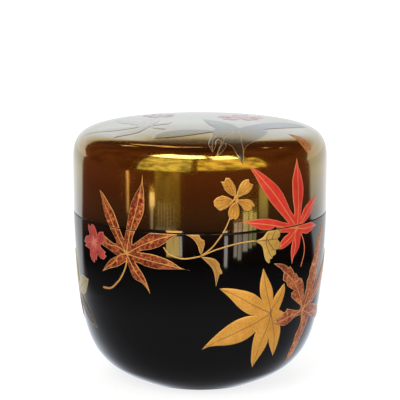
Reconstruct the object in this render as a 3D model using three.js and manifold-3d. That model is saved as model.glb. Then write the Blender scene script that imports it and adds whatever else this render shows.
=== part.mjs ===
// Japanese lacquered tea caddy (natsume), turned wood with lacquer coats and raised
// maki-e ornament.  Millimetres, +Z up, origin in the middle of the foot's resting plane.
// The front, where the main spray of leaves sits, faces -Y.
//
// The caddy comes apart in two: the vessel, whose tall collar guides the lid, and the lid,
// which drops over the collar, turns freely on it and lifts straight off.  Each half is a
// turned wooden core between an outer coat and a lining, and every leaf or flower is a
// thin raised layer of its own that stands on the outer coat.  A hairline gap separates
// neighbouring layers.
import * as THREE from 'three';
import { mergeVertices } from 'three/addons/utils/BufferGeometryUtils.js';
import Module from 'manifold-3d';

const wasm = await Module();
wasm.setup();

// ---------------------------------------------------------------- driving dimensions
const OUTER_RADIUS = 33.0;        // lid wall and the vessel's widest point
const HEIGHT = 66.5;              // foot plane to the crown of the lid
const SEAM_Z = 44.5;              // height of the joint line
const SEGMENTS = 36;              // facets round the turned shapes
const COAT = 0.45;                // outer lacquer
const LINING = 0.35;              // inner lacquer
const LAYER_GAP = 0.06;           // hairline between bonded layers
const SEAM_GAP = 0.12;            // open joint line under the lid's edge
const FOOT_RADIUS = 17.03;        // outer edge of the foot ring
const FOOT_INNER = 14.8;          // inner edge of the foot ring
const FOOT_DEPTH = 0.9;           // recess inside the foot ring
const COLLAR_RADIUS = 30.6;       // outside of the lacquered collar
const COLLAR_TOP = 50.0;          // lip of the collar
const BORE_RADIUS = 28.4;         // inside of the lacquered vessel
const FLOOR_Z = 4.8;              // lacquered floor inside
const LID_BORE = 30.74;           // inside of the lacquered lid: 0.14 running clearance
const LID_CEILING = 62.9;         // lacquered underside of the lid's crown
const RELIEF_GAP = 0.04;          // ornament stands this far off the coat
const RELIEF_TOP = 0.26;          // and its upper face is this far out
const SHOULDER_A = 7.96, SHOULDER_B = 8.63, SHOULDER_Q = 3.19, CROWN_DROP = 1.18;

// vessel meridian: fraction of the seam height -> radius
const BODY_T = [0, 0.02, 0.06, 0.12, 0.2, 0.3, 0.45, 0.65, 1.0];
const BODY_R = [17.03, 19.0, 22.25, 25.5, 28.07, 29.86, 31.29, 32.27, 33.0];

// ---------------------------------------------------------------- meridian curves
function pchip(xs, ys) {
  const n = xs.length, h = [], d = [], m = new Array(n).fill(0);
  for (let i = 0; i < n - 1; i++) { h.push(xs[i + 1] - xs[i]); d.push((ys[i + 1] - ys[i]) / h[i]); }
  for (let i = 1; i < n - 1; i++) {
    if (d[i - 1] * d[i] > 0) {
      const w1 = 2 * h[i] + h[i - 1], w2 = h[i] + 2 * h[i - 1];
      m[i] = (w1 + w2) / (w1 / d[i - 1] + w2 / d[i]);
    }
  }
  const end = (h0, h1, d0, d1) => {
    let v = ((2 * h0 + h1) * d0 - h0 * d1) / (h0 + h1);
    if (v * d0 <= 0) v = 0; else if (d0 * d1 <= 0 && Math.abs(v) > 3 * Math.abs(d0)) v = 3 * d0;
    return v;
  };
  m[0] = end(h[0], h[1], d[0], d[1]);
  m[n - 1] = end(h[n - 2], h[n - 3], d[n - 2], d[n - 3]);
  return (x) => {
    let i = 0;
    while (i < n - 2 && x > xs[i + 1]) i++;
    const t = (x - xs[i]) / h[i], t2 = t * t, t3 = t2 * t;
    return (2 * t3 - 3 * t2 + 1) * ys[i] + (t3 - 2 * t2 + t) * h[i] * m[i]
      + (-2 * t3 + 3 * t2) * ys[i + 1] + (t3 - t2) * h[i] * m[i + 1];
  };
}
const bodyRadius = pchip(BODY_T.map((t) => t * SEAM_Z), BODY_R);

function arcTable(points) {                    // [[r, z], ...] -> arc length look-up
  const s = [0];
  for (let i = 1; i < points.length; i++) {
    s.push(s[i - 1] + Math.hypot(points[i][0] - points[i - 1][0], points[i][1] - points[i - 1][1]));
  }
  const at = (q) => {
    q = Math.min(Math.max(q, 0), s[s.length - 1]);
    let lo = 0, hi = s.length - 1;
    while (hi - lo > 1) { const mid = (lo + hi) >> 1; if (s[mid] <= q) lo = mid; else hi = mid; }
    const t = (q - s[lo]) / (s[hi] - s[lo] || 1);
    const a = points[lo], b = points[hi], dr = b[0] - a[0], dz = b[1] - a[1], L = Math.hypot(dr, dz) || 1;
    return { r: a[0] + t * dr, z: a[1] + t * dz, nr: dz / L, nz: -dr / L };
  };
  return { at, total: s[s.length - 1] };
}
const bodyFine = [];
for (let i = 0; i <= 400; i++) { const z = SEAM_Z * i / 400; bodyFine.push([bodyRadius(z), z]); }
const shoulder = (t) => {
  const r = OUTER_RADIUS - SHOULDER_A + SHOULDER_A * Math.pow(Math.max(Math.cos(t), 0), 2 / SHOULDER_Q);
  const z = HEIGHT - SHOULDER_B + SHOULDER_B * Math.pow(Math.max(Math.sin(t), 0), 2 / SHOULDER_Q)
    - CROWN_DROP * (r / OUTER_RADIUS) ** 2;
  return [r, z];
};
const WALL_TOP = shoulder(0)[1];
const lidFine = [];
for (let i = 0; i < 40; i++) lidFine.push([OUTER_RADIUS, SEAM_Z + (WALL_TOP - SEAM_Z) * i / 40]);
for (let i = 0; i <= 300; i++) lidFine.push(shoulder(Math.PI / 2 * i / 300));
for (let i = 1; i <= 200; i++) {
  const r = (OUTER_RADIUS - SHOULDER_A) * (1 - i / 200);
  lidFine.push([r, HEIGHT - CROWN_DROP * (r / OUTER_RADIUS) ** 2]);
}
const bodyArc = arcTable(bodyFine), lidArc = arcTable(lidFine);

// facet rows of the outside, low to high
const BODY_ROWS = [0.9, 2.7, 5.3, 8.9, 13.4, 20.0, 29.0, SEAM_Z].map((z) => [bodyRadius(z), z]);
const LID_ROWS = [[OUTER_RADIUS, SEAM_Z], [OUTER_RADIUS, WALL_TOP],
  ...[0.2, 0.42, 0.72, 1.12].map(shoulder), shoulder(Math.PI / 2), [13, HEIGHT - CROWN_DROP * (13 / 33) ** 2], [0, HEIGHT]];

// a row of [r, z] points moved d outwards (to the right of travel when going up)
function offsetRows(rows, d) {
  const out = [];
  for (let i = 0; i < rows.length; i++) {
    const p = rows[i], a = rows[i - 1], b = rows[i + 1];
    const dir = (u, v) => { const L = Math.hypot(v[0] - u[0], v[1] - u[1]); return [(v[0] - u[0]) / L, (v[1] - u[1]) / L]; };
    const d1 = a ? dir(a, p) : null, d2 = b ? dir(p, b) : null;
    const n1 = d1 ? [d1[1], -d1[0]] : null, n2 = d2 ? [d2[1], -d2[0]] : null;
    let n = n1 && n2 ? [n1[0] + n2[0], n1[1] + n2[1]] : (n1 || n2);
    const L = Math.hypot(n[0], n[1]); n = [n[0] / L, n[1] / L];
    const k = n1 && n2 ? 1 / Math.max(n[0] * n1[0] + n[1] * n1[1], 0.5) : 1;
    if (p[0] === 0) out.push([0, p[1] + d]);                  // stays on the axis
    else out.push([p[0] + n[0] * d * k, p[1] + n[1] * d * k]);
  }
  return out;
}
// keep a row's end at a level: drop points beyond z and end on it
function startAt(rows, z) {
  const out = [];
  for (let i = 0; i < rows.length; i++) {
    if (rows[i][1] >= z - 1e-9) {
      if (!out.length && i > 0 && rows[i][1] > z + 1e-9) {
        const a = rows[i - 1], b = rows[i], t = (z - a[1]) / (b[1] - a[1]);
        out.push([a[0] + t * (b[0] - a[0]), z]);
      }
      out.push(rows[i]);
    }
  }
  if (out[0][1] > z + 1e-9) out.unshift([out[0][0], z]);
  return out;
}
function endAt(rows, z) {
  const out = [];
  for (let i = 0; i < rows.length; i++) {
    if (rows[i][1] <= z + 1e-9) out.push(rows[i]);
    else if (i > 0) {
      const a = rows[i - 1], b = rows[i], t = (z - a[1]) / (b[1] - a[1]);
      if (t > 1e-6) out.push([a[0] + t * (b[0] - a[0]), z]);
      break;
    }
  }
  if (out[out.length - 1][1] < z - 1e-9) out.push([out[out.length - 1][0], z]);
  return out;
}

// ---------------------------------------------------------------- turned solids
function turned(profile) {
  const pts = profile.map(([r, z]) => new THREE.Vector2(r, z));
  if (!(profile[0][0] === 0 && profile[profile.length - 1][0] === 0)) pts.push(pts[0].clone());
  const g = new THREE.LatheGeometry(pts, SEGMENTS);
  g.rotateX(Math.PI / 2);                       // angle 0 at -Y, growing towards +X
  return cleaned(g);
}
function cleaned(g) {
  g.deleteAttribute('normal'); g.deleteAttribute('uv');
  g = mergeVertices(g, 1e-4);
  const p = g.attributes.position.array, idx = g.index.array, keep = [];
  for (let i = 0; i < idx.length; i += 3) {
    const [a, b, c] = [idx[i], idx[i + 1], idx[i + 2]];
    if (a !== b && b !== c && a !== c) keep.push(a, b, c);
  }
  let vol = 0;
  for (let i = 0; i < keep.length; i += 3) {
    const [a, b, c] = [keep[i] * 3, keep[i + 1] * 3, keep[i + 2] * 3];
    vol += p[a] * (p[b + 1] * p[c + 2] - p[b + 2] * p[c + 1]) - p[a + 1] * (p[b] * p[c + 2] - p[b + 2] * p[c])
      + p[a + 2] * (p[b] * p[c + 1] - p[b + 1] * p[c]);
  }
  if (vol < 0) for (let i = 0; i < keep.length; i += 3) { const t = keep[i + 1]; keep[i + 1] = keep[i + 2]; keep[i + 2] = t; }
  const out = new THREE.BufferGeometry();
  out.setAttribute('position', new THREE.BufferAttribute(new Float32Array(p), 3));
  out.setIndex(keep);
  return out;
}
function solidOf(g) {
  return new wasm.Manifold(new wasm.Mesh({
    numProp: 3, vertProperties: new Float32Array(g.attributes.position.array), triVerts: new Uint32Array(g.index.array),
  }));
}
function geometryOf(m) {
  const mesh = m.getMesh(), g = new THREE.BufferGeometry();
  g.setAttribute('position', new THREE.BufferAttribute(new Float32Array(mesh.vertProperties), 3));
  g.setIndex(Array.from(mesh.triVerts));
  return g;
}

// vessel: outer coat
const bodyIn = (d) => offsetRows(BODY_ROWS, -d);
const coatTopZ = SEAM_Z - 0.02;
const vesselCoat = [...startAt(endAt(BODY_ROWS, coatTopZ), 0.9 + LAYER_GAP),
  ...startAt(endAt(bodyIn(COAT), coatTopZ), 0.9 + LAYER_GAP).reverse()];
// vessel: lacquered underside with the foot ring
const footTop = 1.35;
const coreOut = bodyIn(COAT + LAYER_GAP);
const footSkin = [[0, FOOT_DEPTH], [FOOT_INNER - 0.3, FOOT_DEPTH], [FOOT_INNER, 0], [FOOT_RADIUS, 0],
  [bodyRadius(0.3), 0.3], [bodyRadius(0.9), 0.9], [startAt(endAt(bodyIn(COAT + LAYER_GAP), 3), 0.95)[0][0] - 0.15, 0.9],
  [startAt(endAt(bodyIn(COAT + LAYER_GAP), 3), footTop)[0][0] - 0.25, footTop], [0, footTop]];
// vessel: turned wooden core with its ledge and collar
const bowlIn = [[BORE_RADIUS, COLLAR_TOP - 0.4], [BORE_RADIUS, 34], [28.2, 26], [27.5, 19], [26.2, 13.5], [23.8, 9.2],
  [20.4, 6.4], [15, 5.1], [0, FLOOR_Z]];
const bowlCore = offsetRows([...bowlIn].reverse(), LINING + LAYER_GAP).reverse();
const ledgeZ = SEAM_Z - 0.10;
const vesselCore = [[0, footTop + LAYER_GAP], ...startAt(endAt(coreOut, ledgeZ), footTop + LAYER_GAP),
  [COLLAR_RADIUS - LINING - LAYER_GAP, ledgeZ], [COLLAR_RADIUS - LINING - LAYER_GAP, COLLAR_TOP - LINING - LAYER_GAP],
  [bowlCore[0][0], COLLAR_TOP - LINING - LAYER_GAP], ...bowlCore.slice(1)];
// vessel: lining, over the lip and down the outside of the collar to the ledge
const vesselLining = [...[...bowlIn].reverse(), [BORE_RADIUS + 0.35, COLLAR_TOP], [COLLAR_RADIUS - 0.35, COLLAR_TOP],
  [COLLAR_RADIUS, COLLAR_TOP - 0.4], [COLLAR_RADIUS, ledgeZ + LAYER_GAP], [COLLAR_RADIUS - LINING, ledgeZ + LAYER_GAP],
  [COLLAR_RADIUS - LINING, COLLAR_TOP - LINING], [bowlCore[0][0] - LAYER_GAP, COLLAR_TOP - LINING],
  ...offsetRows([...bowlIn].reverse(), LINING).reverse().slice(1)];

// lid: outer coat, core and lining
const lidIn = (d) => offsetRows(LID_ROWS, -d);
const lidEdge = SEAM_Z + SEAM_GAP;
const lidCoat = [...[...startAt(lidIn(COAT), lidEdge)].reverse(), ...startAt(LID_ROWS, lidEdge)];
const lidInside = [[LID_BORE, lidEdge + 0.05], [LID_BORE, 57.2], [30.1, 60.2], [28.2, 62.0], [25.2, LID_CEILING - 0.35], [12, LID_CEILING - 0.05], [0, LID_CEILING]];
const lidLining = [...startAt(offsetRows(lidInside, LINING), lidEdge + 0.05), ...[...lidInside].reverse()];
const lidCore = [...[...startAt(offsetRows(lidInside, LINING + LAYER_GAP), lidEdge + 0.05)].reverse(),
  ...startAt(lidIn(COAT + LAYER_GAP), lidEdge + 0.05)];

// ---------------------------------------------------------------- raised ornament
// Outlines in millimetres on the unrolled surface.  on 'vessel' and 'lid': x runs round
// the wall at the outer radius from the front (-Y) towards +X, y is the distance up the
// meridian from the foot or from the lid's edge.  on 'top': seen from above, distances
// measured along the surface from the crown, front at the bottom.
const ORNAMENT = [
  { name: 'leaf_mottled_vessel', on: 'vessel', outline: [
    [-2.5, 41.5], [-4.7, 42.1], [-7.4, 43.8], [-10.8, 44.9], [-16.3, 45.3], [-9.7, 47.6], [-5.5,
    50.5], [-12.1, 50.5], [-13.4, 50.1], [-17.6, 47], [-17.6, 48.5], [-16.8, 50.5], [-19.4,
    50.5], [-20, 48], [-21.4, 50.5], [-24.7, 50.5], [-22.9, 48.1], [-22.3, 46.6], [-23.7, 46.7],
    [-26.1, 47.8], [-25.9, 47.1], [-27.5, 45.5], [-22.3, 43.7], [-26, 41.3], [-28.2, 38.6],
    [-22.3, 40.9], [-19.8, 42.5], [-21.1, 39.3], [-23.6, 36.4], [-25.9, 34.9], [-28.2, 34.8],
    [-28.6, 34.4], [-28.2, 34.1], [-25.9, 34.3], [-24.3, 35], [-23.1, 36], [-20.7, 38.9],
    [-19.3, 42.3], [-17.7, 38.7], [-14.6, 37], [-13, 34.8], [-14.1, 38.3], [-17.1, 42.7],
    [-10.8, 41.5], [-4.2, 41.8]] },
  { name: 'leaf_mottled_lid_a', on: 'lid', outline: [
    [-19.4, 0.1], [-16.6, 0.1], [-14.6, 4.2], [-14.2, 6], [-14.6, 14.4], [-14.9, 12.2], [-17.8,
    6.9]] },
  { name: 'leaf_mottled_lid_b', on: 'lid', outline: [
    [-21.5, 0.1], [-24, 4.8], [-27, 8], [-28.4, 8.8], [-26.6, 3], [-24.9, 0.1]] },
  { name: 'blossom_red', on: 'vessel', outline: [
    [-36.7, 44.9], [-35.5, 44.5], [-36.4, 43.8], [-33.5, 43.3], [-33.7, 41.8], [-32.8, 40.7],
    [-31.6, 40.3], [-31.4, 41.1], [-30.6, 41.1], [-29.9, 42.8], [-28.7, 42], [-27.5, 41.8],
    [-26.2, 42.9], [-27, 43.2], [-26.6, 43.9], [-28.3, 44.7], [-28.7, 45.4], [-27.2, 46.1],
    [-26.2, 47.3], [-27.1, 48.1], [-27.2, 49], [-28.9, 48.7], [-29.8, 47.8], [-31, 49.9],
    [-32.2, 50.3], [-33, 49.3], [-33.7, 50], [-34.1, 48.8], [-33.4, 47.4], [-33.7, 47], [-35.4,
    46.5]] },
  { name: 'sprig_gold_vessel', on: 'vessel', outline: [
    [13.6, 48.6], [8.6, 48.1], [1.9, 46.1], [4.8, 49.2], [5.7, 50.5], [5.2, 50.5], [3, 47.6],
    [0.4, 45.6], [1.1, 48], [1.1, 49.1], [0.2, 49.6], [-0.2, 50.5], [-3.5, 50.5], [-1.3, 49],
    [0.3, 45.5], [0, 45.3], [-3.6, 44.7], [-5.3, 44.8], [-6.8, 45.2], [-7.9, 45.8], [-8.9,
    47.1], [-9.3, 47], [-8.2, 45.5], [-5.3, 44.3], [-3.6, 44.2], [0.2, 44.9], [2.9, 42.1], [3.5,
    40.8], [4, 37.3], [4.8, 40.4], [5.6, 40.6], [4.9, 43.1], [3.8, 44.3], [0.5, 45], [6.1,
    47.1], [11.1, 48.1], [13.6, 48.2]] },
  { name: 'blossom_gold_lid', on: 'lid', outline: [
    [5.4, 0.1], [5.9, 0.1], [7.5, 3.6], [8.3, 3.8], [8.9, 3.4], [9.6, 4.3], [9.8, 5.8], [9.2,
    7.9], [11.1, 5.7], [12.1, 5.4], [13.1, 5.7], [13.2, 6.4], [13.9, 6.5], [12.7, 8.1], [9.4,
    8.5], [9.4, 8.9], [11.8, 9.8], [12.9, 10.7], [13.4, 11.9], [12.4, 12.4], [12.2, 13.3],
    [11.2, 13.2], [10.1, 12.4], [8.9, 9.2], [8.8, 11.4], [7.2, 13.9], [6.3, 14], [6, 13], [5.1,
    13.1], [6.1, 11.1], [7.2, 9.9], [8.7, 9.2], [8.1, 8.4], [5.5, 9.6], [4.2, 9.2], [3.3, 8.3],
    [3.5, 7.1], [4.9, 5.8], [6.2, 6.3], [8.5, 8.3], [8.8, 8.2], [7.1, 5.9], [7.2, 4.1]] },
  { name: 'leaf_red_lid', on: 'lid', outline: [
    [12.1, 17.1], [15.3, 11.4], [18.9, 6.5], [24.1, 1.1], [17.7, 2.9], [13.8, 3.1], [10.3, 2.6],
    [12.2, 2.1], [15.4, 0.5], [17, 0.1], [19.7, 1], [21, 0.1], [29.8, 0.1], [32.2, 1.3], [33.7,
    2.6], [36.5, 6.5], [31.1, 4.6], [29.8, 3.5], [28.8, 1.6], [29.7, 9.2], [29.2, 11.3], [27.6,
    15], [27.4, 17.1], [25.4, 11.8], [26.2, 2.5], [24.7, 4.3], [22.6, 8.1], [20, 11.3]] },
  { name: 'leaf_red_vessel', on: 'vessel', outline: [
    [36.5, 49.1], [33.2, 50.5], [21.4, 50.5], [21.8, 49.6], [24.5, 49.1], [22.8, 48.4], [21.6,
    47.3], [21.8, 46.2], [21.3, 45.5], [22.3, 45.4], [25.8, 47.1], [25.3, 43.6], [25.9, 40.9],
    [26.4, 42.4], [28.3, 44.9], [28.9, 48.1], [30.5, 44.5], [30.5, 42.7], [29.4, 39.7], [29.6,
    39.5], [30.9, 42.7], [30.9, 44.5], [29.3, 48.3], [31.4, 47.9]] },
  { name: 'bud_gold', on: 'vessel', outline: [
    [13.9, 48.4], [15.9, 46.9], [17.2, 43], [18, 42.2], [18.4, 42.4], [18.4, 43.3], [19, 43.3],
    [19.3, 43.9], [20.2, 44.3], [20.2, 45.5], [20.8, 45.5], [21.4, 46.3], [21.2, 47.3], [20.5,
    48.1], [21.3, 48.8], [21.4, 49.9], [20.7, 50.5], [17.8, 50.5], [16.3, 49.1]] },
  { name: 'leaf_toothed', on: 'vessel', outline: [
    [51.5, 40.4], [46, 38], [36.6, 31.6], [39.4, 37.3], [40.3, 40.5], [41.1, 46.5], [40.9,
    49.3], [37.4, 43.7], [36.5, 41.3], [34.4, 37.7], [34, 36.2], [33.1, 35.1], [33.1, 33.5],
    [32.3, 30.4], [31.4, 34.6], [30.2, 36.5], [28.9, 36.8], [27.9, 38.1], [27.1, 38.3], [25.3,
    40.5], [24.8, 40.1], [23.2, 41.2], [19.7, 41.9], [22.2, 40.2], [23.1, 39.1], [22.9, 37.2],
    [24.2, 36.3], [24.6, 35.5], [27.6, 33.8], [26.4, 33.2], [26.5, 32.1], [31.3, 28.8], [30.8,
    27.9], [25.2, 29.3], [24.9, 28.6], [23.1, 27.3], [21.7, 27], [21, 26.1], [24.6, 24.8],
    [28.4, 26.1], [31.9, 26.3], [32.3, 24.2], [31.8, 22.6], [30.8, 21.1], [30.3, 17.2], [30.3,
    14.9], [31.1, 12.3], [33.2, 16.2], [36.9, 25.2], [41.5, 23.2], [45, 22.5], [48.8, 22.6],
    [46, 25], [42.5, 26.8], [36.5, 28.3], [42, 30.8], [46, 33.6], [49.5, 37]] },
  { name: 'leaf_gold', on: 'vessel', outline: [
    [0.5, 20.4], [2.5, 21.3], [9.7, 21.8], [12, 22.4], [15.4, 24.7], [14.8, 21.1], [14.9, 18.7],
    [15.2, 16.2], [16.3, 13.7], [19.5, 20.7], [19.7, 22.4], [20.3, 20.3], [22.8, 16.4], [23.4,
    20], [23.5, 24.3], [23.3, 24.7], [20.8, 25.7], [20.6, 26.1], [21.4, 27.3], [22.9, 27.7],
    [23.9, 28.6], [22.3, 29.5], [23.8, 34.4], [23.5, 36.3], [21, 33.9], [20, 32.4], [19.4,
    35.9], [16.6, 41.2], [15.8, 37.6], [15.8, 35.5], [16.2, 33.7], [16.9, 32.5], [14.2, 34.7],
    [12.5, 35.5], [8.8, 36.5], [4.9, 36.8], [11.4, 30.5], [12.9, 29.5], [15.2, 28.9], [11.8,
    28.8], [9.6, 28.2], [7.5, 27], [3.5, 23.8]] },
  { name: 'leaf_pale', on: 'vessel', outline: [
    [-34, 22.3], [-36.4, 25.7], [-38.4, 27.4], [-43.2, 29.5], [-39.3, 30.4], [-37.6, 31.9],
    [-35.7, 35], [-39.4, 35.4], [-41.6, 34.9], [-45.1, 32.4], [-45.2, 36.4], [-46.1, 38.3],
    [-48.5, 40.9], [-49.8, 37.7], [-50, 35.5], [-48.2, 32], [-50.7, 34.6], [-52.7, 35.2], [-56,
    35.1], [-54.4, 32.2], [-52.9, 30.8], [-48.9, 29.7], [-51.8, 29.1], [-53.1, 28.1], [-54.7,
    25.8], [-51.9, 25.5], [-50.3, 25.8], [-49.5, 26.5], [-50.1, 25.6], [-50.2, 23.9], [-49.6,
    21.1], [-47.3, 22.8], [-46.3, 24.2], [-46, 28.3], [-40.6, 23.6], [-38.1, 22.7]] },
  { name: 'leaf_gold_back', on: 'vessel', outline: [
    [95.5, 31.7], [91.2, 31.9], [88.7, 31.2], [86.6, 29.4], [87.6, 31.1], [87.7, 33.5], [86.7,
    37.2], [83.8, 34.6], [82.6, 32.6], [82.5, 29.4], [82.1, 30.7], [80.9, 32], [78.2, 33.3],
    [78, 30.3], [78.5, 28.6], [80.9, 26], [78, 26.1], [76.5, 25.4], [74.6, 23.5], [77.1, 22.4],
    [78.6, 22.2], [77.9, 21.6], [77.3, 19.8], [77.2, 16.6], [80.1, 17.8], [81.5, 19.1], [82.6,
    22.3], [82.7, 17.5], [83.9, 15.6], [86.9, 13.1], [87.8, 16.8], [87.6, 19.1], [85.4, 22.6],
    [89.6, 19.9], [92.2, 19.7], [96.3, 20.7], [93.5, 23.9], [91.3, 25.2], [86.8, 25.3], [91.3,
    26.3], [93.3, 28]] },
  { name: 'leaf_red_back_vessel', on: 'vessel', outline: [
    [-103.6, 47.2], [-101.3, 44.1], [-99.5, 42.8], [-96.3, 42.4], [-97.6, 42.1], [-99, 41],
    [-100.5, 38.5], [-97.6, 38.1], [-95.9, 38.4], [-93.1, 40.5], [-93.5, 37.7], [-93, 36.2],
    [-91.3, 34.2], [-89.9, 36.5], [-89.7, 38], [-89.1, 37.2], [-87.4, 36.5], [-84.3, 36.1],
    [-85.2, 39], [-86.3, 40.5], [-89.4, 41.9], [-84.7, 41.6], [-82.7, 42.6], [-80.1, 45.3],
    [-83.6, 46.5], [-85.9, 46.5], [-89.5, 44.6], [-86.5, 48.5], [-86.1, 50.5], [-91.5, 50.5],
    [-92, 46.2], [-92.5, 50.5], [-97.9, 50.5], [-97.6, 48.6], [-96, 46.4], [-97.6, 47.5],
    [-99.9, 47.8]] },
  { name: 'leaf_red_back_lid', on: 'lid', outline: [
    [-92.6, 0.1], [-94, 2.1], [-97.4, 4.6], [-97.9, 0.1]] },
  { name: 'leaf_mottled_back', on: 'vessel', outline: [
    [-79.8, 23.3], [-77.4, 21], [-75.5, 20.1], [-73.3, 20.2], [-74.8, 19.7], [-76.1, 18.3],
    [-77.4, 15.6], [-74.3, 15.7], [-72.6, 16.2], [-70.9, 18.1], [-71.3, 17.1], [-71.2, 15.8],
    [-70.3, 13.6], [-68.7, 15.3], [-68.1, 16.6], [-68.2, 19.4], [-66.6, 17.8], [-65.4, 17.5],
    [-63.3, 17.7], [-64.1, 19.6], [-65, 20.5], [-64.2, 20.5], [-63, 21.2], [-61.3, 23.1],
    [-63.7, 23.8], [-65.1, 23.8], [-67.4, 22.4], [-65.1, 25.3], [-64.8, 27.1], [-65.3, 30],
    [-67.8, 28.3], [-68.8, 26.8], [-69.2, 23.6], [-70.4, 27.3], [-71.8, 28.8], [-74.8, 30.3],
    [-74.7, 26.9], [-74.1, 25], [-71.4, 22.7], [-74.6, 24.4], [-76.7, 24.4]] },
  { name: 'blossom_red_back', on: 'vessel', outline: [
    [67.9, 35.2], [67, 35.6], [67.2, 36.6], [66.4, 37.1], [65, 36.6], [63.9, 35.5], [64.2, 37],
    [63.8, 38.4], [62.9, 38.7], [62.2, 37.9], [61.3, 38.4], [60.6, 37.9], [60.6, 36.4], [61.5,
    35.1], [60, 35.8], [58.5, 35.8], [58, 35], [58.6, 34.1], [57.8, 33.4], [58.1, 32.5], [59.5,
    32.2], [61.1, 32.4], [59.9, 31.4], [59.5, 30], [60, 29.2], [61, 29.5], [61.5, 28.5], [62.4,
    28.6], [63.2, 29.8], [63.5, 31.4], [64.1, 29.9], [65.3, 29.1], [66.1, 29.4], [66.2, 30.4],
    [67.3, 30.5], [67.5, 31.4], [66.6, 32.5], [65.1, 33.1], [65.2, 33.3], [66.7, 33.4], [67.9,
    34.3]] },
  { name: 'blossom_gold_back', on: 'lid', outline: [
    [73.8, 15.6], [72.8, 15.1], [72.1, 15.9], [71.2, 15.6], [70.7, 14.2], [70.9, 12.5], [69.9,
    13.8], [68.5, 14.3], [67.7, 13.8], [67.9, 12.7], [66.9, 12.3], [66.9, 11.3], [68.1, 10.4],
    [69.7, 10.3], [68.2, 9.5], [67.3, 8.3], [67.6, 7.4], [68.7, 7.3], [68.8, 6.2], [69.7, 5.9],
    [70.9, 6.8], [71.5, 8.3], [71.8, 6.6], [72.6, 5.3], [73.6, 5.3], [74, 6.3], [75.1, 6.1],
    [75.7, 6.8], [75.2, 8.3], [73.9, 9.3], [74.1, 9.5], [75.6, 9.1], [77.1, 9.5], [77.4, 10.4],
    [76.6, 11.2], [77.2, 12.1], [76.6, 12.8], [75.1, 12.8], [73.7, 12], [74.5, 13.5], [74.5, 15]] },
  { name: 'blossom_gold_side', on: 'lid', outline: [
    [-58.1, 11.2], [-59, 11.6], [-58.9, 12.6], [-59.6, 13.2], [-61, 12.6], [-62.1, 11.5],
    [-61.8, 13], [-62.2, 14.4], [-63.1, 14.7], [-63.8, 13.9], [-64.7, 14.4], [-65.4, 13.9],
    [-65.4, 12.4], [-64.5, 11.1], [-66, 11.8], [-67.5, 11.8], [-68, 11], [-67.4, 10.1], [-68.2,
    9.4], [-67.9, 8.6], [-66.5, 8.2], [-64.9, 8.4], [-66.1, 7.3], [-66.5, 6], [-66, 5.2], [-65,
    5.5], [-64.5, 4.5], [-63.6, 4.5], [-62.8, 5.8], [-62.5, 7.4], [-61.9, 5.9], [-60.7, 5],
    [-59.9, 5.3], [-59.8, 6.4], [-58.7, 6.5], [-58.5, 7.4], [-59.4, 8.5], [-60.9, 9.1], [-60.8,
    9.3], [-59.3, 9.4], [-58.1, 10.3]] },
  { name: 'leaf_black_top', on: 'top', outline: [
    [26.2, 4.3], [23.5, 6.4], [20.5, 6.6], [17, 4.6], [13.6, 0.8], [10.2, -4.4], [8.3, 1.4],
    [5.8, 5.2], [3, 8], [0.8, 9.6], [1.2, 5], [3.6, -5], [3.2, -8.6], [1, -7.6], [-4.5, -7.4],
    [-9, -10.2], [-11.4, -14.5], [-11.7, -19.5], [-8, -19], [-4.4, -17.4], [0.2, -14.2], [3,
    -11.8], [3, -15.4], [2.2, -22.8], [2.1, -26.5], [2.5, -29.3], [3.1, -30.8], [3.6, -29.4],
    [4.1, -22.8], [4.7, -19.8], [5.2, -22.5], [5, -26.5], [4, -32], [5.6, -30.2], [6.3, -28.4],
    [6.5, -25], [8.9, -30.2], [11.2, -32.9], [10.9, -29.9], [11.3, -27.4], [14.9, -18.9], [17.3,
    -9.6], [16.6, -6.6], [18.6, -4.8], [23.9, -1.9], [27.7, 1]] },
  { name: 'leaf_line_top', on: 'top', outline: [
    [-21.9, -16.3], [-17.8, -13.4], [-15.7, -10.9], [-12.9, -2.5], [-11.9, -5.4], [-10.8, -6.3],
    [-8.7, -7.1], [-8.8, -4.8], [-9.3, -3.5], [-12.2, -1.1], [-8.6, 0.8], [-7.8, 2.1], [-7.2,
    4.5], [-9.6, 4], [-10.9, 3.3], [-12.3, 0.5], [-10.6, 6.8], [-11, 9.4], [-12.8, 13.1],
    [-14.6, 9.5], [-15.2, 6.9], [-13.9, 1.7], [-16.5, 7.8], [-18.7, 9.8], [-22.8, 11.9], [-21.8,
    7.4], [-20.5, 4.7], [-18.3, 2.7], [-16.1, -0.1], [-23.3, -1.9], [-26.2, -3.5], [-29.8,
    -7.1], [-24.7, -7.5], [-21.5, -7], [-15.7, -3.3], [-20.2, -8.3], [-21.3, -11.3]] },
  { name: 'leaf_brown_top', on: 'top', outline: [
    [22.3, -11.2], [25, -17.4], [26.4, -18.5], [28.3, -18.7], [29.1, -16.9], [28.7, -15.3],
    [26.2, -13.3]] },
  { name: 'blossom_pink_top', on: 'top', outline: [
    [4.6, 15.2], [4.8, 14.1], [6.3, 13.3], [8.2, 13.5], [8.3, 13.2], [6.7, 12.3], [5.8, 10.7],
    [6.3, 9.8], [7.6, 9.8], [7.9, 8.6], [9, 8.4], [10.2, 9.7], [10.7, 11.6], [10.9, 11.6],
    [11.3, 9.7], [12.6, 8.4], [13.7, 8.6], [14, 9.8], [15.2, 9.8], [15.8, 10.7], [14.9, 12.3],
    [13.3, 13.2], [13.4, 13.5], [15.2, 13.3], [16.9, 14.1], [17, 15.2], [15.9, 15.9], [16.4,
    17.1], [15.6, 17.8], [13.9, 17.5], [12.5, 16.3], [12.2, 16.4], [13, 18.2], [12.8, 19.9],
    [11.8, 20.4], [10.8, 19.6], [9.8, 20.4], [8.8, 19.9], [8.6, 18.2], [9.4, 16.4], [9.1, 16.3],
    [7.7, 17.5], [6, 17.8], [5.2, 17.1], [5.7, 15.9]] },
  { name: 'blossom_lilac_top', on: 'top', outline: [
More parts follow.
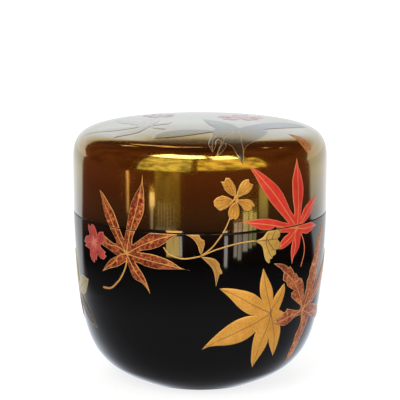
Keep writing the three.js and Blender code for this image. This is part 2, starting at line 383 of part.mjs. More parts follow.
    [-12.3, 14.1], [-11.5, 14.1], [-10.8, 15.1], [-10.8, 16.5], [-10.1, 15.3], [-9.1, 14.5],
    [-8.3, 14.8], [-8.3, 15.7], [-7.4, 15.8], [-7.2, 16.5], [-7.9, 17.5], [-9.2, 17.9], [-7.8,
    18.2], [-6.8, 19], [-6.8, 19.7], [-7.7, 20.1], [-7.5, 20.9], [-8.1, 21.4], [-9.3, 21],
    [-10.3, 20], [-10, 21.3], [-10.3, 22.5], [-11.1, 22.7], [-11.7, 22], [-12.4, 22.5], [-13.1,
    22], [-13, 20.8], [-12.4, 19.5], [-13.5, 20.2], [-14.8, 20.2], [-15.2, 19.6], [-14.8, 18.8],
    [-15.4, 18.2], [-15.2, 17.5], [-14, 17.2], [-12.7, 17.5], [-13.6, 16.5], [-14, 15.3],
    [-13.5, 14.7], [-12.7, 14.9]] },];

function surfacePoint(on, x, y, lift) {
  let a, phi;
  if (on === 'top') { phi = Math.atan2(x, -y); a = lidArc.at(lidArc.total - Math.hypot(x, y)); }
  else { phi = x / OUTER_RADIUS; a = (on === 'lid' ? lidArc : bodyArc).at(y); }
  const r = Math.max(a.r + a.nr * lift, 0.001), z = a.z + a.nz * lift;
  return [r * Math.sin(phi), -r * Math.cos(phi), z];
}
function cutter(on, outline) {
  // triangulated outline, split until every edge is short, then raised through the surface
  const STEP = on === 'top' ? 4.5 : 5.0;
  const pts = outline.map((p) => new THREE.Vector2(p[0], p[1]));
  if (THREE.ShapeUtils.isClockWise(pts)) pts.reverse();
  let tris = THREE.ShapeUtils.triangulateShape(pts, []);
  const v = pts.map((p) => [p.x, p.y]);
  for (let round = 0; round < 8; round++) {
    const mids = new Map(), mid = (a, b) => {
      if (Math.hypot(v[a][0] - v[b][0], v[a][1] - v[b][1]) <= STEP) return -1;
      const key = a < b ? a + '_' + b : b + '_' + a;
      if (!mids.has(key)) { v.push([(v[a][0] + v[b][0]) / 2, (v[a][1] + v[b][1]) / 2]); mids.set(key, v.length - 1); }
      return mids.get(key);
    };
    const next = [];
    for (const [a, b, c] of tris) {
      const ab = mid(a, b), bc = mid(b, c), ca = mid(c, a);
      const n = (ab >= 0) + (bc >= 0) + (ca >= 0);
      if (n === 0) next.push([a, b, c]);
      else if (n === 3) next.push([a, ab, ca], [ab, b, bc], [ca, bc, c], [ab, bc, ca]);
      else if (n === 1) {
        if (ab >= 0) next.push([a, ab, c], [ab, b, c]);
        else if (bc >= 0) next.push([b, bc, a], [bc, c, a]);
        else next.push([c, ca, b], [ca, a, b]);
      } else {
        if (ab < 0) next.push([a, b, ca], [b, bc, ca], [ca, bc, c]);
        else if (bc < 0) next.push([b, c, ab], [c, ca, ab], [ab, ca, a]);
        else next.push([c, a, bc], [a, ab, bc], [bc, ab, b]);
      }
    }
    tris = next;
    if (mids.size === 0) break;
  }
  const n = v.length, pos = [], idx = [];
  for (const p of v) pos.push(...surfacePoint(on, p[0], p[1], -2.2));
  for (const p of v) pos.push(...surfacePoint(on, p[0], p[1], 3.0));
  const edges = new Map();
  for (const [a, b, c] of tris) {
    idx.push(a, c, b, n + a, n + b, n + c);
    for (const [i, j] of [[a, b], [b, c], [c, a]]) edges.set(i + '_' + j, [i, j]);
  }
  for (const [i, j] of edges.values()) {
    if (!edges.has(j + '_' + i)) idx.push(i, j, n + j, i, n + j, n + i);
  }
  const g = new THREE.BufferGeometry();
  g.setAttribute('position', new THREE.BufferAttribute(new Float32Array(pos), 3));
  g.setIndex(idx);
  let vol = 0;
  for (let i = 0; i < idx.length; i += 3) {
    const [a, b, c] = [idx[i] * 3, idx[i + 1] * 3, idx[i + 2] * 3];
    vol += pos[a] * (pos[b + 1] * pos[c + 2] - pos[b + 2] * pos[c + 1]) - pos[a + 1] * (pos[b] * pos[c + 2] - pos[b + 2] * pos[c])
      + pos[a + 2] * (pos[b] * pos[c + 1] - pos[b + 1] * pos[c]);
  }
  if (vol < 0) for (let i = 0; i < idx.length; i += 3) { const t = idx[i + 1]; idx[i + 1] = idx[i + 2]; idx[i + 2] = t; }
  g.setIndex(idx);
  return g;
}
const vesselSkin = solidOf(turned([...offsetRows(BODY_ROWS, RELIEF_TOP), ...offsetRows(BODY_ROWS, RELIEF_GAP).reverse()]));
const lidSkin = solidOf(turned([...[...offsetRows(LID_ROWS, RELIEF_GAP)].reverse(), ...offsetRows(LID_ROWS, RELIEF_TOP)]));

// ---------------------------------------------------------------- assembly
const caddy = new THREE.Group();
const lid = new THREE.Group();
caddy.add(lid);
function piece(group, name, geometry, color, roughness, metalness) {
  const mesh = new THREE.Mesh(geometry, new THREE.MeshStandardMaterial({ color, roughness, metalness }));
  mesh.name = name;
  group.add(mesh);
}
piece(caddy, 'vessel_wood_core', turned(vesselCore), 0xa9794b, 0.6, 0);
piece(caddy, 'vessel_outer_lacquer', turned(vesselCoat), 0x0d0b0b, 0.06, 0);
piece(caddy, 'vessel_inner_lacquer', turned(vesselLining), 0x100d0c, 0.1, 0);
piece(caddy, 'vessel_base_lacquer', turned(footSkin), 0x0d0b0b, 0.1, 0);
piece(lid, 'lid_wood_core', turned(lidCore), 0xa9794b, 0.6, 0);
piece(lid, 'lid_outer_lacquer', turned(lidCoat), 0x4a2a0c, 0.08, 0.3);
piece(lid, 'lid_inner_lacquer', turned(lidLining), 0x100d0c, 0.1, 0);

const TONES = {
  leaf_mottled: [0x8f3212, 0.45, 0.2], leaf_red: [0xc8281e, 0.45, 0], leaf_gold: [0xc08a35, 0.4, 0.8],
  leaf_toothed: [0x8a3a1c, 0.45, 0.2], leaf_pale: [0xc9ae78, 0.4, 0.7], leaf_black: [0x141210, 0.3, 0.1],
  leaf_line: [0x5a3a18, 0.4, 0.5], leaf_brown: [0x8f3212, 0.45, 0.2], blossom_red: [0xbe3a36, 0.5, 0],
  blossom_gold: [0xc8963c, 0.35, 0.85], blossom_pink: [0xc98a96, 0.5, 0], blossom_lilac: [0xb9a0c0, 0.5, 0], sprig_gold: [0xb98a3a, 0.4, 0.8],
  bud_gold: [0xbfa05a, 0.4, 0.7],
};
for (const o of ORNAMENT) {
  const g = solidOf(cutter(o.on, o.outline)).intersect(o.on === 'vessel' ? vesselSkin : lidSkin);
  const key = Object.keys(TONES).find((k) => o.name.startsWith(k));
  piece(o.on === 'vessel' ? caddy : lid, o.name, geometryOf(g), ...TONES[key]);
}
export default caddy;
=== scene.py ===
"""Looks of a lacquered tea caddy (natsume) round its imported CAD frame.

Everything is worked out in millimetres in the frame of the part (+Z up, front at -Y)
and written to the meshes in metres.
"""
import math
import bpy
import numpy as np
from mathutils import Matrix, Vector
from mathutils.geometry import delaunay_2d_cdt


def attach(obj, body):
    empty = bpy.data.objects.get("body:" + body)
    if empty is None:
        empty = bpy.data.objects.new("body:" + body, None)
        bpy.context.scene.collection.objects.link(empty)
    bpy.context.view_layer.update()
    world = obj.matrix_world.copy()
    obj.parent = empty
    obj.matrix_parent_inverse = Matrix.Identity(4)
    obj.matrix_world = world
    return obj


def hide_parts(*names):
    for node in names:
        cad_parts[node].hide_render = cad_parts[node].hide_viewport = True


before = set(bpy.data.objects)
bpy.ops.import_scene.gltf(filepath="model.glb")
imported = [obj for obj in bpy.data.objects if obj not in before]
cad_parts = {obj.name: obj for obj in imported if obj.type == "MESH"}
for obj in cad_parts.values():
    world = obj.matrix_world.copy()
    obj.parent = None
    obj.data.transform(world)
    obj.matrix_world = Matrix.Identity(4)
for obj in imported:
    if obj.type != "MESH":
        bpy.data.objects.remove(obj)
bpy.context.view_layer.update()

MM = 0.001
scene = bpy.context.scene

# ---------------------------------------------------------------- driving dimensions, mm
R_OUT, HEIGHT, SEAM = 33.0, 66.5, 44.5
COAT, LINING, LAYER = 0.45, 0.35, 0.06
FOOT_R, FOOT_IN, FOOT_DEEP, FOOT_TOP = 17.03, 14.8, 0.9, 1.35
COLLAR_R, COLLAR_TOP, BORE_R, FLOOR_Z = 30.6, 50.0, 28.4, 4.8
LID_BORE, LID_CEIL, LID_EDGE = 30.74, 62.9, 44.62
SH_A, SH_B, SH_Q, CROWN = 7.96, 8.63, 3.19, 1.18
BODY_T = [0, 0.02, 0.06, 0.12, 0.2, 0.3, 0.45, 0.65, 1.0]
BODY_R = [17.03, 19.0, 22.25, 25.5, 28.07, 29.86, 31.29, 32.27, 33.0]


def pchip(xs, ys):
    xs, ys = np.array(xs, float), np.array(ys, float)
    h, d = np.diff(xs), np.diff(ys) / np.diff(xs)
    m = np.zeros(len(xs))
    for i in range(1, len(xs) - 1):
        if d[i - 1] * d[i] > 0:
            w1, w2 = 2 * h[i] + h[i - 1], h[i] + 2 * h[i - 1]
            m[i] = (w1 + w2) / (w1 / d[i - 1] + w2 / d[i])

    def end(h0, h1, d0, d1):
        v = ((2 * h0 + h1) * d0 - h0 * d1) / (h0 + h1)
        if v * d0 <= 0:
            return 0.0
        return 3 * d0 if d0 * d1 <= 0 and abs(v) > 3 * abs(d0) else v

    m[0], m[-1] = end(h[0], h[1], d[0], d[1]), end(h[-1], h[-2], d[-1], d[-2])

    def f(x):
        x = np.asarray(x, float)
        i = np.clip(np.searchsorted(xs, x) - 1, 0, len(xs) - 2)
        t = (x - xs[i]) / h[i]
        return ((2 * t**3 - 3 * t**2 + 1) * ys[i] + (t**3 - 2 * t**2 + t) * h[i] * m[i]
                + (3 * t**2 - 2 * t**3) * ys[i + 1] + (t**3 - t**2) * h[i] * m[i + 1])
    return f


body_radius = pchip([t * SEAM for t in BODY_T], BODY_R)


def shoulder(t):
    r = R_OUT - SH_A + SH_A * np.maximum(np.cos(t), 0) ** (2 / SH_Q)
    z = HEIGHT - SH_B + SH_B * np.maximum(np.sin(t), 0) ** (2 / SH_Q) - CROWN * (r / R_OUT) ** 2
    return r, z


WALL_TOP = float(shoulder(0.0)[1])


def body_line(n=900):
    z = np.linspace(0, SEAM, n)
    return np.stack([body_radius(z), z], -1)


def lid_line(n=500):
    z = np.linspace(SEAM, WALL_TOP, 120)[:-1]
    # even steps along the shoulder instead of even angles
    t = np.linspace(0, math.pi / 2, 4000)
    r, zz = shoulder(t)
    s = np.concatenate([[0], np.cumsum(np.hypot(np.diff(r), np.diff(zz)))])
    q = np.linspace(0, s[-1], n)
    rs, zs = np.interp(q, s, r), np.interp(q, s, zz)
    rt = np.linspace(R_OUT - SH_A, 0, 260)[1:]
    return np.concatenate([np.stack([0 * z + R_OUT, z], -1), np.stack([rs, zs], -1),
                           np.stack([rt, HEIGHT - CROWN * (rt / R_OUT) ** 2], -1)])


class Meridian:
    """Arc length along a meridian -> radius, height and outward normal."""

    def __init__(self, line):
        self.line = line
        seg = np.hypot(*np.diff(line, axis=0).T)
        self.s = np.concatenate([[0], np.cumsum(seg)])
        self.total = self.s[-1]
        d = np.gradient(line, self.s, axis=0)
        d /= np.hypot(d[:, 0], d[:, 1])[:, None]
        self.n = np.stack([d[:, 1], -d[:, 0]], -1)

    def at(self, q):
        q = np.clip(q, 0, self.total)
        r, z = np.interp(q, self.s, self.line[:, 0]), np.interp(q, self.s, self.line[:, 1])
        nr, nz = np.interp(q, self.s, self.n[:, 0]), np.interp(q, self.s, self.n[:, 1])
        k = np.hypot(nr, nz)
        return r, z, nr / k, nz / k


BODY, LID = Meridian(body_line()), Meridian(lid_line())


def surface(chart, p, lift):
    """Chart point (mm) -> place (mm).  v and l: x round the wall, y up the meridian.
    t: seen from above, measured along the surface from the crown."""
    x, y = p[:, 0], p[:, 1]
    if chart == "t":
        phi, (r, z, nr, nz) = np.arctan2(x, -y), LID.at(LID.total - np.hypot(x, y))
    else:
        phi, (r, z, nr, nz) = x / R_OUT, (LID if chart == "l" else BODY).at(y)
    r, z = np.maximum(r + nr * lift, 0.0), z + nz * lift
    return np.stack([r * np.sin(phi), -r * np.cos(phi), z], -1)


# ---------------------------------------------------------------- mesh helpers
def make_object(name, points_mm, faces, body, nodes, material, sharp=38.0):
    mesh = bpy.data.meshes.new(name)
    mesh.from_pydata((np.asarray(points_mm) * MM).tolist(), [], faces)
    mesh.validate()
    mesh.shade_smooth()
    mesh.set_sharp_from_angle(angle=math.radians(sharp))
    obj = bpy.data.objects.new(name, mesh)
    scene.collection.objects.link(obj)
    mesh.materials.append(material)
    if body:
        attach(obj, body)
        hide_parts(*nodes)
    return obj


def signed_volume(pts, faces):
    """Six times the volume that triangle and quad faces enclose."""
    pts = np.asarray(pts, float)
    tri = np.array([f[:3] for f in faces] + [(f[0], f[2], f[3]) for f in faces if len(f) == 4], int)
    a, b, c = pts[tri[:, 0]], pts[tri[:, 1]], pts[tri[:, 2]]
    return float(np.sum(a * np.cross(b, c)))


def fillet(rows, radii, n=5):
    """Round the corners of an open or closed polyline; radii is {row number: radius}."""
    rows = [np.array(p, float) for p in rows]
    out = []
    for i, p in enumerate(rows):
        rad = radii.get(i, 0)
        a, b = rows[i - 1], rows[(i + 1) % len(rows)]
        if not rad or np.allclose(a, p) or np.allclose(b, p):
            out.append(p)
            continue
        u, v = (a - p) / np.linalg.norm(a - p), (b - p) / np.linalg.norm(b - p)
        half = math.acos(max(-1, min(1, float(u @ v)))) / 2
        d = min(rad / math.tan(half), 0.49 * np.linalg.norm(a - p), 0.49 * np.linalg.norm(b - p))
        rad = d * math.tan(half)
        c = p + (u + v) / np.linalg.norm(u + v) * rad / math.sin(half)
        s, e = p + u * d - c, p + v * d - c
        a0, a1 = math.atan2(s[1], s[0]), math.atan2(e[1], e[0])
        da = (a1 - a0 + math.pi) % (2 * math.pi) - math.pi
        out += [c + rad * np.array([math.cos(a0 + da * k / n), math.sin(a0 + da * k / n)]) for k in range(n + 1)]
    return [(float(q[0]), float(q[1])) for q in out]


def offset_line(line, d):
    """A smooth line of (r, z) moved d along its outward normal."""
    m = Meridian(np.array(line, float))
    out = m.line + m.n * d
    on_axis = m.line[:, 0] == 0
    out[on_axis, 0] = 0
    return out


def lathe(profile, segments):
    """Closed turned solid from a loop of (r, z) that may start and end on the axis."""
    prof = [(float(r), float(z)) for r, z in profile]
    keep = [prof[0]]
    for p in prof[1:]:
        if math.hypot(p[0] - keep[-1][0], p[1] - keep[-1][1]) > 1e-4:
            keep.append(p)
    prof = keep
    axis = prof[0][0] == 0 and prof[-1][0] == 0
    if not axis and math.hypot(prof[0][0] - prof[-1][0], prof[0][1] - prof[-1][1]) < 1e-4:
        prof = prof[:-1]
    ang = np.arange(segments) * 2 * math.pi / segments
    c, s = np.sin(ang), -np.cos(ang)
    pts, ids = [], []
    for r, z in prof:
        if r == 0:
            ids.append([len(pts)] * segments)
            pts.append((0.0, 0.0, z))
        else:
            ids.append(list(range(len(pts), len(pts) + segments)))
            pts += list(zip(r * c, r * s, [z] * segments))
    faces = []
    n = len(prof)
    for i in range(n - 1 if axis else n):
        a, b = ids[i], ids[(i + 1) % n]
        for k in range(segments):
            q = (k + 1) % segments
            f = [a[k], a[q], b[q], b[k]]
            f = [v for j, v in enumerate(f) if v != f[j - 1]]
            if len(set(f)) >= 3:
                faces.append(f)
    pts = np.array(pts, float)
    # orient outwards
    if signed_volume(pts, faces) < 0:
        faces = [f[::-1] for f in faces]
    return pts, faces


# ---------------------------------------------------------------- ornament
# Outline, then the lines drawn on it, in chart millimetres.
MOTIFS = {
    "leaf_mottled_vessel": ("v",
        [[-25.94,34.36],[-24.37,35.04],[-23.19,36.02],[-21.83,37.36],[-20.75,38.95],[-19.8,40.8],[-19.3,42.39],[-18.79,41.18],[-18.36,39.91],[-17.69,38.71],[-16.83,38.04],[-15.68,37.66],[-14.57,36.96],[-13.74,36.03],[-12.97,34.82],[-13.22,35.81],[-14.08,38.31],[-14.75,39.56],[-15.55,40.76],[-17.06,42.67],[-15.76,42.54],[-14.4,42.05],[-12.71,41.71],[-10.84,41.5],[-4.17,41.76],[-2.45,41.48],[-4.68,42.06],[-7.42,43.76],[-10.78,44.85],[-12.63,45.17],[-16.26,45.34],[-14.54,45.95],[-12.87,46.28],[-11.26,46.8],[-9.67,47.56],[-7.09,49.58],[-5.55,50.55],[-12.13,50.55],[-13.36,50.06],[-17.65,46.95],[-17.61,48.5],[-16.75,50.55],[-19.42,50.55],[-20.04,47.97],[-20.78,49.27],[-21.39,50.55],[-24.72,50.55],[-22.94,48.08],[-22.32,46.64],[-23.67,46.69],[-25.79,47.65],[-26.98,48.29],[-26.95,48.16],[-26.05,47.37],[-26.08,47.25],[-27.1,46.06],[-27.79,45.69],[-27.41,45.45],[-26.48,45.23],[-22.28,43.66],[-24.64,42.4],[-26.01,41.26],[-27.28,39.87],[-28.22,38.65],[-25.95,39.63],[-22.28,40.93],[-19.71,42.47],[-20.21,40.88],[-21.07,39.26],[-22.15,37.68],[-23.53,36.36],[-24.71,35.38],[-25.94,34.85],[-28.23,34.7],[-28.41,34.62],[-28.49,34.44],[-28.41,34.26],[-28.23,34.19]],
        [[[-19.37,44.56],[-20.52,46.42],[-21.65,48.3],[-22.74,50.19],[-23.82,52.09],[-24.92,53.98],[-26.02,55.87],[-27.18,57.73],[-28.43,59.53]],[[-19.37,44.56],[-18.87,47.16],[-18.29,49.73],[-17.52,52.26],[-16.69,54.78],[-15.96,57.32],[-15.34,59.89],[-14.87,62.49],[-14.6,65.13]],[[-19.37,44.56],[-17.65,45.6],[-15.92,46.63],[-14.14,47.57],[-12.31,48.39],[-10.45,49.12],[-8.56,49.79],[-6.65,50.4],[-4.7,50.94]],[[-19.37,44.56],[-17.25,44.2],[-15.13,43.85],[-13.0,43.51],[-10.88,43.16],[-8.76,42.8],[-6.65,42.39],[-4.55,41.92],[-2.45,41.48]],[[-19.37,44.56],[-18.64,43.29],[-17.95,42.01],[-17.22,40.74],[-16.36,39.56],[-15.36,38.48],[-14.39,37.38],[-13.61,36.14],[-12.97,34.82]],[[-19.37,44.56],[-20.79,44.25],[-21.99,43.67],[-22.78,42.54],[-23.73,41.58],[-24.94,40.93],[-26.07,40.23],[-27.16,39.46],[-28.22,38.65]],[[-19.37,44.56],[-20.77,45.57],[-22.27,46.16],[-23.92,46.04],[-25.56,46.21],[-27.07,46.87],[-28.52,47.59],[-29.99,48.25],[-31.52,48.76]],[[-19.43,43.39],[-19.49,42.37],[-20.04,40.73],[-20.93,39.06],[-22.04,37.45],[-23.32,36.22],[-24.65,35.12],[-25.84,34.61],[-27.21,34.5],[-28.23,34.44]]]),
    "leaf_mottled_lid_a": ("l",
        [[-15.26,2.63],[-14.57,4.21],[-14.18,5.99],[-14.23,10.01],[-14.48,11.96],[-14.6,14.45],[-14.92,12.18],[-15.77,10.59],[-16.91,8.74],[-17.79,6.9],[-18.39,4.83],[-19.35,0.13],[-16.61,0.13]],
        [[[-19.37,-6.11],[-20.52,-4.25],[-21.65,-2.38],[-22.74,-0.49],[-23.82,1.42],[-24.92,3.31],[-26.02,5.2],[-27.18,7.06],[-28.43,8.85]],[[-19.37,-6.11],[-18.87,-3.52],[-18.29,-0.94],[-17.52,1.59],[-16.69,4.1],[-15.96,6.64],[-15.34,9.22],[-14.87,11.82],[-14.6,14.45]],[[-19.37,-6.11],[-17.65,-5.08],[-15.92,-4.04],[-14.14,-3.11],[-12.31,-2.29],[-10.45,-1.56],[-8.56,-0.89],[-6.65,-0.27],[-4.7,0.26]],[[-19.37,-6.11],[-17.25,-6.47],[-15.13,-6.82],[-13.0,-7.17],[-10.88,-7.51],[-8.76,-7.87],[-6.65,-8.29],[-4.55,-8.76],[-2.45,-9.19]],[[-19.37,-6.11],[-18.64,-7.38],[-17.95,-8.67],[-17.22,-9.94],[-16.36,-11.12],[-15.36,-12.19],[-14.39,-13.3],[-13.61,-14.54],[-12.97,-15.86]],[[-19.37,-6.11],[-20.79,-6.42],[-21.99,-7.0],[-22.78,-8.13],[-23.73,-9.1],[-24.94,-9.75],[-26.07,-10.45],[-27.16,-11.22],[-28.22,-12.02]],[[-19.37,-6.11],[-20.77,-5.11],[-22.27,-4.51],[-23.92,-4.63],[-25.56,-4.46],[-27.07,-3.8],[-28.52,-3.09],[-29.99,-2.42],[-31.52,-1.91]]]),
    "leaf_mottled_lid_b": ("l",
        [[-22.83,3.03],[-23.98,4.78],[-27.04,8.02],[-28.43,8.85],[-27.84,7.15],[-27.29,5.19],[-26.56,3.0],[-25.66,1.36],[-24.89,0.13],[-21.5,0.13]],
        [[[-19.37,-6.11],[-20.52,-4.25],[-21.65,-2.38],[-22.74,-0.49],[-23.82,1.42],[-24.92,3.31],[-26.02,5.2],[-27.18,7.06],[-28.43,8.85]],[[-19.37,-6.11],[-18.87,-3.52],[-18.29,-0.94],[-17.52,1.59],[-16.69,4.1],[-15.96,6.64],[-15.34,9.22],[-14.87,11.82],[-14.6,14.45]],[[-19.37,-6.11],[-17.65,-5.08],[-15.92,-4.04],[-14.14,-3.11],[-12.31,-2.29],[-10.45,-1.56],[-8.56,-0.89],[-6.65,-0.27],[-4.7,0.26]],[[-19.37,-6.11],[-17.25,-6.47],[-15.13,-6.82],[-13.0,-7.17],[-10.88,-7.51],[-8.76,-7.87],[-6.65,-8.29],[-4.55,-8.76],[-2.45,-9.19]],[[-19.37,-6.11],[-18.64,-7.38],[-17.95,-8.67],[-17.22,-9.94],[-16.36,-11.12],[-15.36,-12.19],[-14.39,-13.3],[-13.61,-14.54],[-12.97,-15.86]],[[-19.37,-6.11],[-20.79,-6.42],[-21.99,-7.0],[-22.78,-8.13],[-23.73,-9.1],[-24.94,-9.75],[-26.07,-10.45],[-27.16,-11.22],[-28.22,-12.02]],[[-19.37,-6.11],[-20.77,-5.11],[-22.27,-4.51],[-23.92,-4.63],[-25.56,-4.46],[-27.07,-3.8],[-28.52,-3.09],[-29.99,-2.42],[-31.52,-1.91]]]),
    "blossom_red": ("v",
        [[-31.35,41.11],[-30.58,41.12],[-30.21,42.23],[-29.94,42.81],[-28.74,41.96],[-27.53,41.8],[-26.25,42.92],[-27.03,43.19],[-26.57,43.91],[-28.28,44.67],[-28.66,45.38],[-27.2,46.15],[-26.18,47.33],[-27.07,48.09],[-27.23,48.98],[-28.86,48.7],[-29.77,47.77],[-30.14,48.75],[-30.99,49.89],[-32.17,50.27],[-32.99,49.28],[-33.73,49.98],[-34.09,48.83],[-33.35,47.4],[-33.69,46.95],[-35.39,46.49],[-36.66,44.92],[-35.46,44.52],[-36.36,43.8],[-34.33,43.55],[-33.52,43.31],[-33.69,41.83],[-32.81,40.69],[-31.61,40.26]],
        [[[-31.15,46.09],[-32.14,47.91]],[[-31.06,46.17],[-31.22,47.56]],[[-31.26,46.06],[-32.34,46.95]],[[-30.82,46.01],[-28.83,47.32]],[[-30.74,45.93],[-29.14,46.25]],[[-30.86,46.12],[-29.93,47.46]],[[-30.85,45.7],[-28.77,43.72]],[[-30.91,45.6],[-30.08,43.79]],[[-30.75,45.76],[-28.9,45.03]],[[-31.1,45.63],[-31.87,42.87]],[[-31.21,45.63],[-32.43,44.06]],[[-31.0,45.57],[-30.78,43.6]],[[-31.27,45.82],[-34.01,45.21]],[[-31.33,45.92],[-33.24,46.24]],[[-31.28,45.7],[-32.87,44.61]]]),
    "sprig_gold_vessel": ("v",
        [[4.85,40.37],[5.58,40.62],[5.45,41.26],[4.93,42.32],[4.9,43.08],[3.8,44.27],[2.81,44.67],[0.38,45.05],[3.63,46.44],[6.07,47.14],[8.55,47.75],[11.09,48.12],[13.91,48.23],[13.81,48.34],[13.85,48.46],[14.17,48.56],[11.72,48.49],[8.55,48.08],[6.07,47.48],[3.49,46.72],[1.55,45.89],[3.24,47.34],[4.73,49.24],[5.65,50.55],[5.25,50.55],[3.0,47.58],[1.55,46.31],[0.43,45.55],[1.12,47.98],[1.07,49.14],[0.21,49.64],[-0.19,50.55],[-3.49,50.55],[-2.38,49.98],[-1.28,48.99],[-0.57,47.74],[-0.17,46.22],[0.29,45.46],[0.04,45.29],[-1.98,44.86],[-3.64,44.63],[-5.31,44.76],[-6.85,45.19],[-7.89,45.79],[-8.92,47.11],[-9.04,47.16],[-9.16,47.11],[-9.22,46.98],[-8.14,45.54],[-7.05,44.91],[-5.31,44.39],[-3.64,44.26],[-1.98,44.48],[0.21,44.97],[2.06,43.15],[2.94,42.11],[3.47,40.81],[3.79,39.26],[4.02,37.29]],
        [[[0.43,45.23],[0.31,46.99],[-0.43,48.76],[-1.62,50.01],[-3.34,50.82]],[[0.08,45.1],[2.06,44.17],[3.67,42.62],[4.34,40.8],[4.01,37.96]]]),
    "blossom_gold_lid": ("l",
        [[6.52,1.42],[7.47,3.67],[7.59,3.43],[8.27,3.77],[8.89,3.36],[9.64,4.33],[9.8,5.81],[9.16,7.89],[10.29,6.77],[11.06,5.74],[12.14,5.4],[13.05,5.7],[13.19,6.44],[13.89,6.5],[13.43,7.3],[12.66,8.12],[11.32,8.38],[9.77,8.4],[9.39,8.49],[9.44,8.7],[9.39,8.89],[10.52,9.38],[11.85,9.8],[12.88,10.71],[13.41,11.93],[12.42,12.37],[12.2,13.32],[11.17,13.21],[10.14,12.41],[9.47,11.05],[8.94,9.24],[8.78,11.36],[8.22,12.6],[7.23,13.89],[6.34,13.97],[5.95,13.02],[5.06,13.1],[5.46,12.47],[6.07,11.07],[7.24,9.91],[8.67,9.19],[8.42,8.98],[8.38,8.57],[8.09,8.41],[6.93,9.12],[5.47,9.62],[4.22,9.16],[3.34,8.31],[3.5,7.07],[4.86,5.82],[6.23,6.27],[7.36,7.04],[8.26,7.87],[8.54,8.31],[8.82,8.17],[8.77,7.86],[7.86,7.26],[7.08,5.93],[7.07,4.45],[7.27,4.06],[7.04,3.32],[6.29,1.65],[5.44,0.13],[5.84,0.13]],
        [[[8.53,10.82],[8.05,13.63]],[[8.32,10.15],[6.87,13.78]],[[8.35,9.52],[5.97,13.08]],[[7.78,9.79],[4.98,12.52]],[[7.08,9.85],[4.67,11.37]],[[10.65,9.59],[12.99,10.76]],[[10.01,9.6],[12.81,11.84]],[[9.46,9.4],[11.96,12.45]],[[9.55,9.98],[11.2,13.16]],[[9.41,10.6],[10.1,13.13]],[[9.73,7.28],[10.84,5.38]],[[9.71,7.82],[11.74,5.6]],[[9.51,8.27],[12.2,6.34]],[[10.0,8.22],[12.75,7.02]],[[10.51,8.37],[12.67,7.93]],[[7.85,7.17],[6.45,5.12]],[[8.38,7.45],[7.1,4.32]],[[8.74,7.87],[8.08,4.21]],[[8.93,7.35],[9.04,3.97]],[[9.34,6.9],[9.92,4.49]],[[6.98,8.98],[4.43,9.35]],[[7.49,8.61],[3.97,8.38]],[[8.05,8.47],[4.32,7.42]],[[7.65,8.05],[4.53,6.41]],[[7.4,7.47],[5.43,5.82]]]),
    "leaf_red_lid": ("l",
        [[19.81,0.73],[19.94,0.7],[20.54,0.13],[29.79,0.13],[30.79,0.54],[32.2,1.33],[33.68,2.63],[34.72,4.23],[36.46,6.52],[33.08,5.42],[31.14,4.58],[29.82,3.52],[28.81,1.64],[28.97,3.92],[29.65,7.38],[29.71,9.15],[29.25,11.27],[28.4,13.43],[27.64,15.03],[27.4,17.07],[26.49,15.17],[25.87,13.51],[25.41,11.8],[25.46,9.25],[25.71,6.7],[26.2,4.09],[26.22,2.55],[24.74,4.29],[22.61,8.1],[21.29,9.91],[20.02,11.3],[16.47,14.14],[14.8,15.29],[13.22,16.16],[12.07,17.07],[12.91,15.55],[14.22,13.47],[15.35,11.39],[18.86,6.52],[24.1,1.07],[22.07,1.61],[19.84,2.4],[17.7,2.93],[15.7,3.14],[13.75,3.13],[10.32,2.64],[12.15,2.13],[13.74,1.26],[15.43,0.47],[16.99,0.13],[18.62,0.13]],
        [[[27.23,-0.67],[25.33,1.54],[23.47,3.79],[21.68,6.1],[19.89,8.41],[18.01,10.63],[16.05,12.8],[14.07,14.94],[12.07,17.07]],[[27.23,-0.67],[27.38,1.54],[27.54,3.76],[27.62,5.98],[27.58,8.2],[27.4,10.42],[27.19,12.64],[27.16,14.86],[27.4,17.07]],[[27.23,-0.67],[28.39,0.21],[29.53,1.13],[30.64,2.09],[31.77,3.02],[32.93,3.91],[34.09,4.8],[35.27,5.67],[36.46,6.52]],[[27.23,-0.67],[25.11,-0.3],[22.99,0.12],[20.9,0.65],[18.82,1.2],[16.71,1.65],[14.59,2.05],[12.46,2.41],[10.32,2.64]],[[27.23,-0.67],[28.36,-0.92],[29.5,-1.15],[30.66,-1.29],[31.82,-1.35],[32.98,-1.34],[34.15,-1.31],[35.31,-1.37],[36.46,-1.52]],[[27.23,-0.67],[26.43,-1.27],[25.67,-1.92],[24.92,-2.59],[24.09,-3.14],[23.22,-3.62],[22.35,-4.12],[21.49,-4.62],[20.61,-5.1]],[[27.23,-0.67],[26.55,-1.79],[26.26,-2.91],[26.7,-4.04],[26.85,-5.21],[26.48,-6.36],[26.14,-7.48],[25.95,-8.62],[25.87,-9.77]]]),
    "leaf_red_vessel": ("v",
        [[29.77,39.6],[30.87,42.73],[30.9,44.55],[30.34,46.29],[29.27,48.26],[29.58,48.32],[31.41,47.88],[33.35,48.19],[34.98,48.91],[36.46,49.15],[34.88,49.98],[33.24,50.54],[20.88,50.55],[21.56,49.99],[21.54,49.66],[23.44,49.44],[24.48,49.13],[22.8,48.35],[21.4,47.04],[21.53,46.23],[20.94,45.54],[22.26,45.39],[24.98,46.49],[25.84,47.14],[25.38,45.4],[25.32,43.59],[25.87,40.9],[26.35,42.4],[28.32,44.9],[28.91,48.13],[29.99,46.23],[30.53,44.55],[30.51,42.73],[29.47,39.72],[29.53,39.6],[29.65,39.54]],
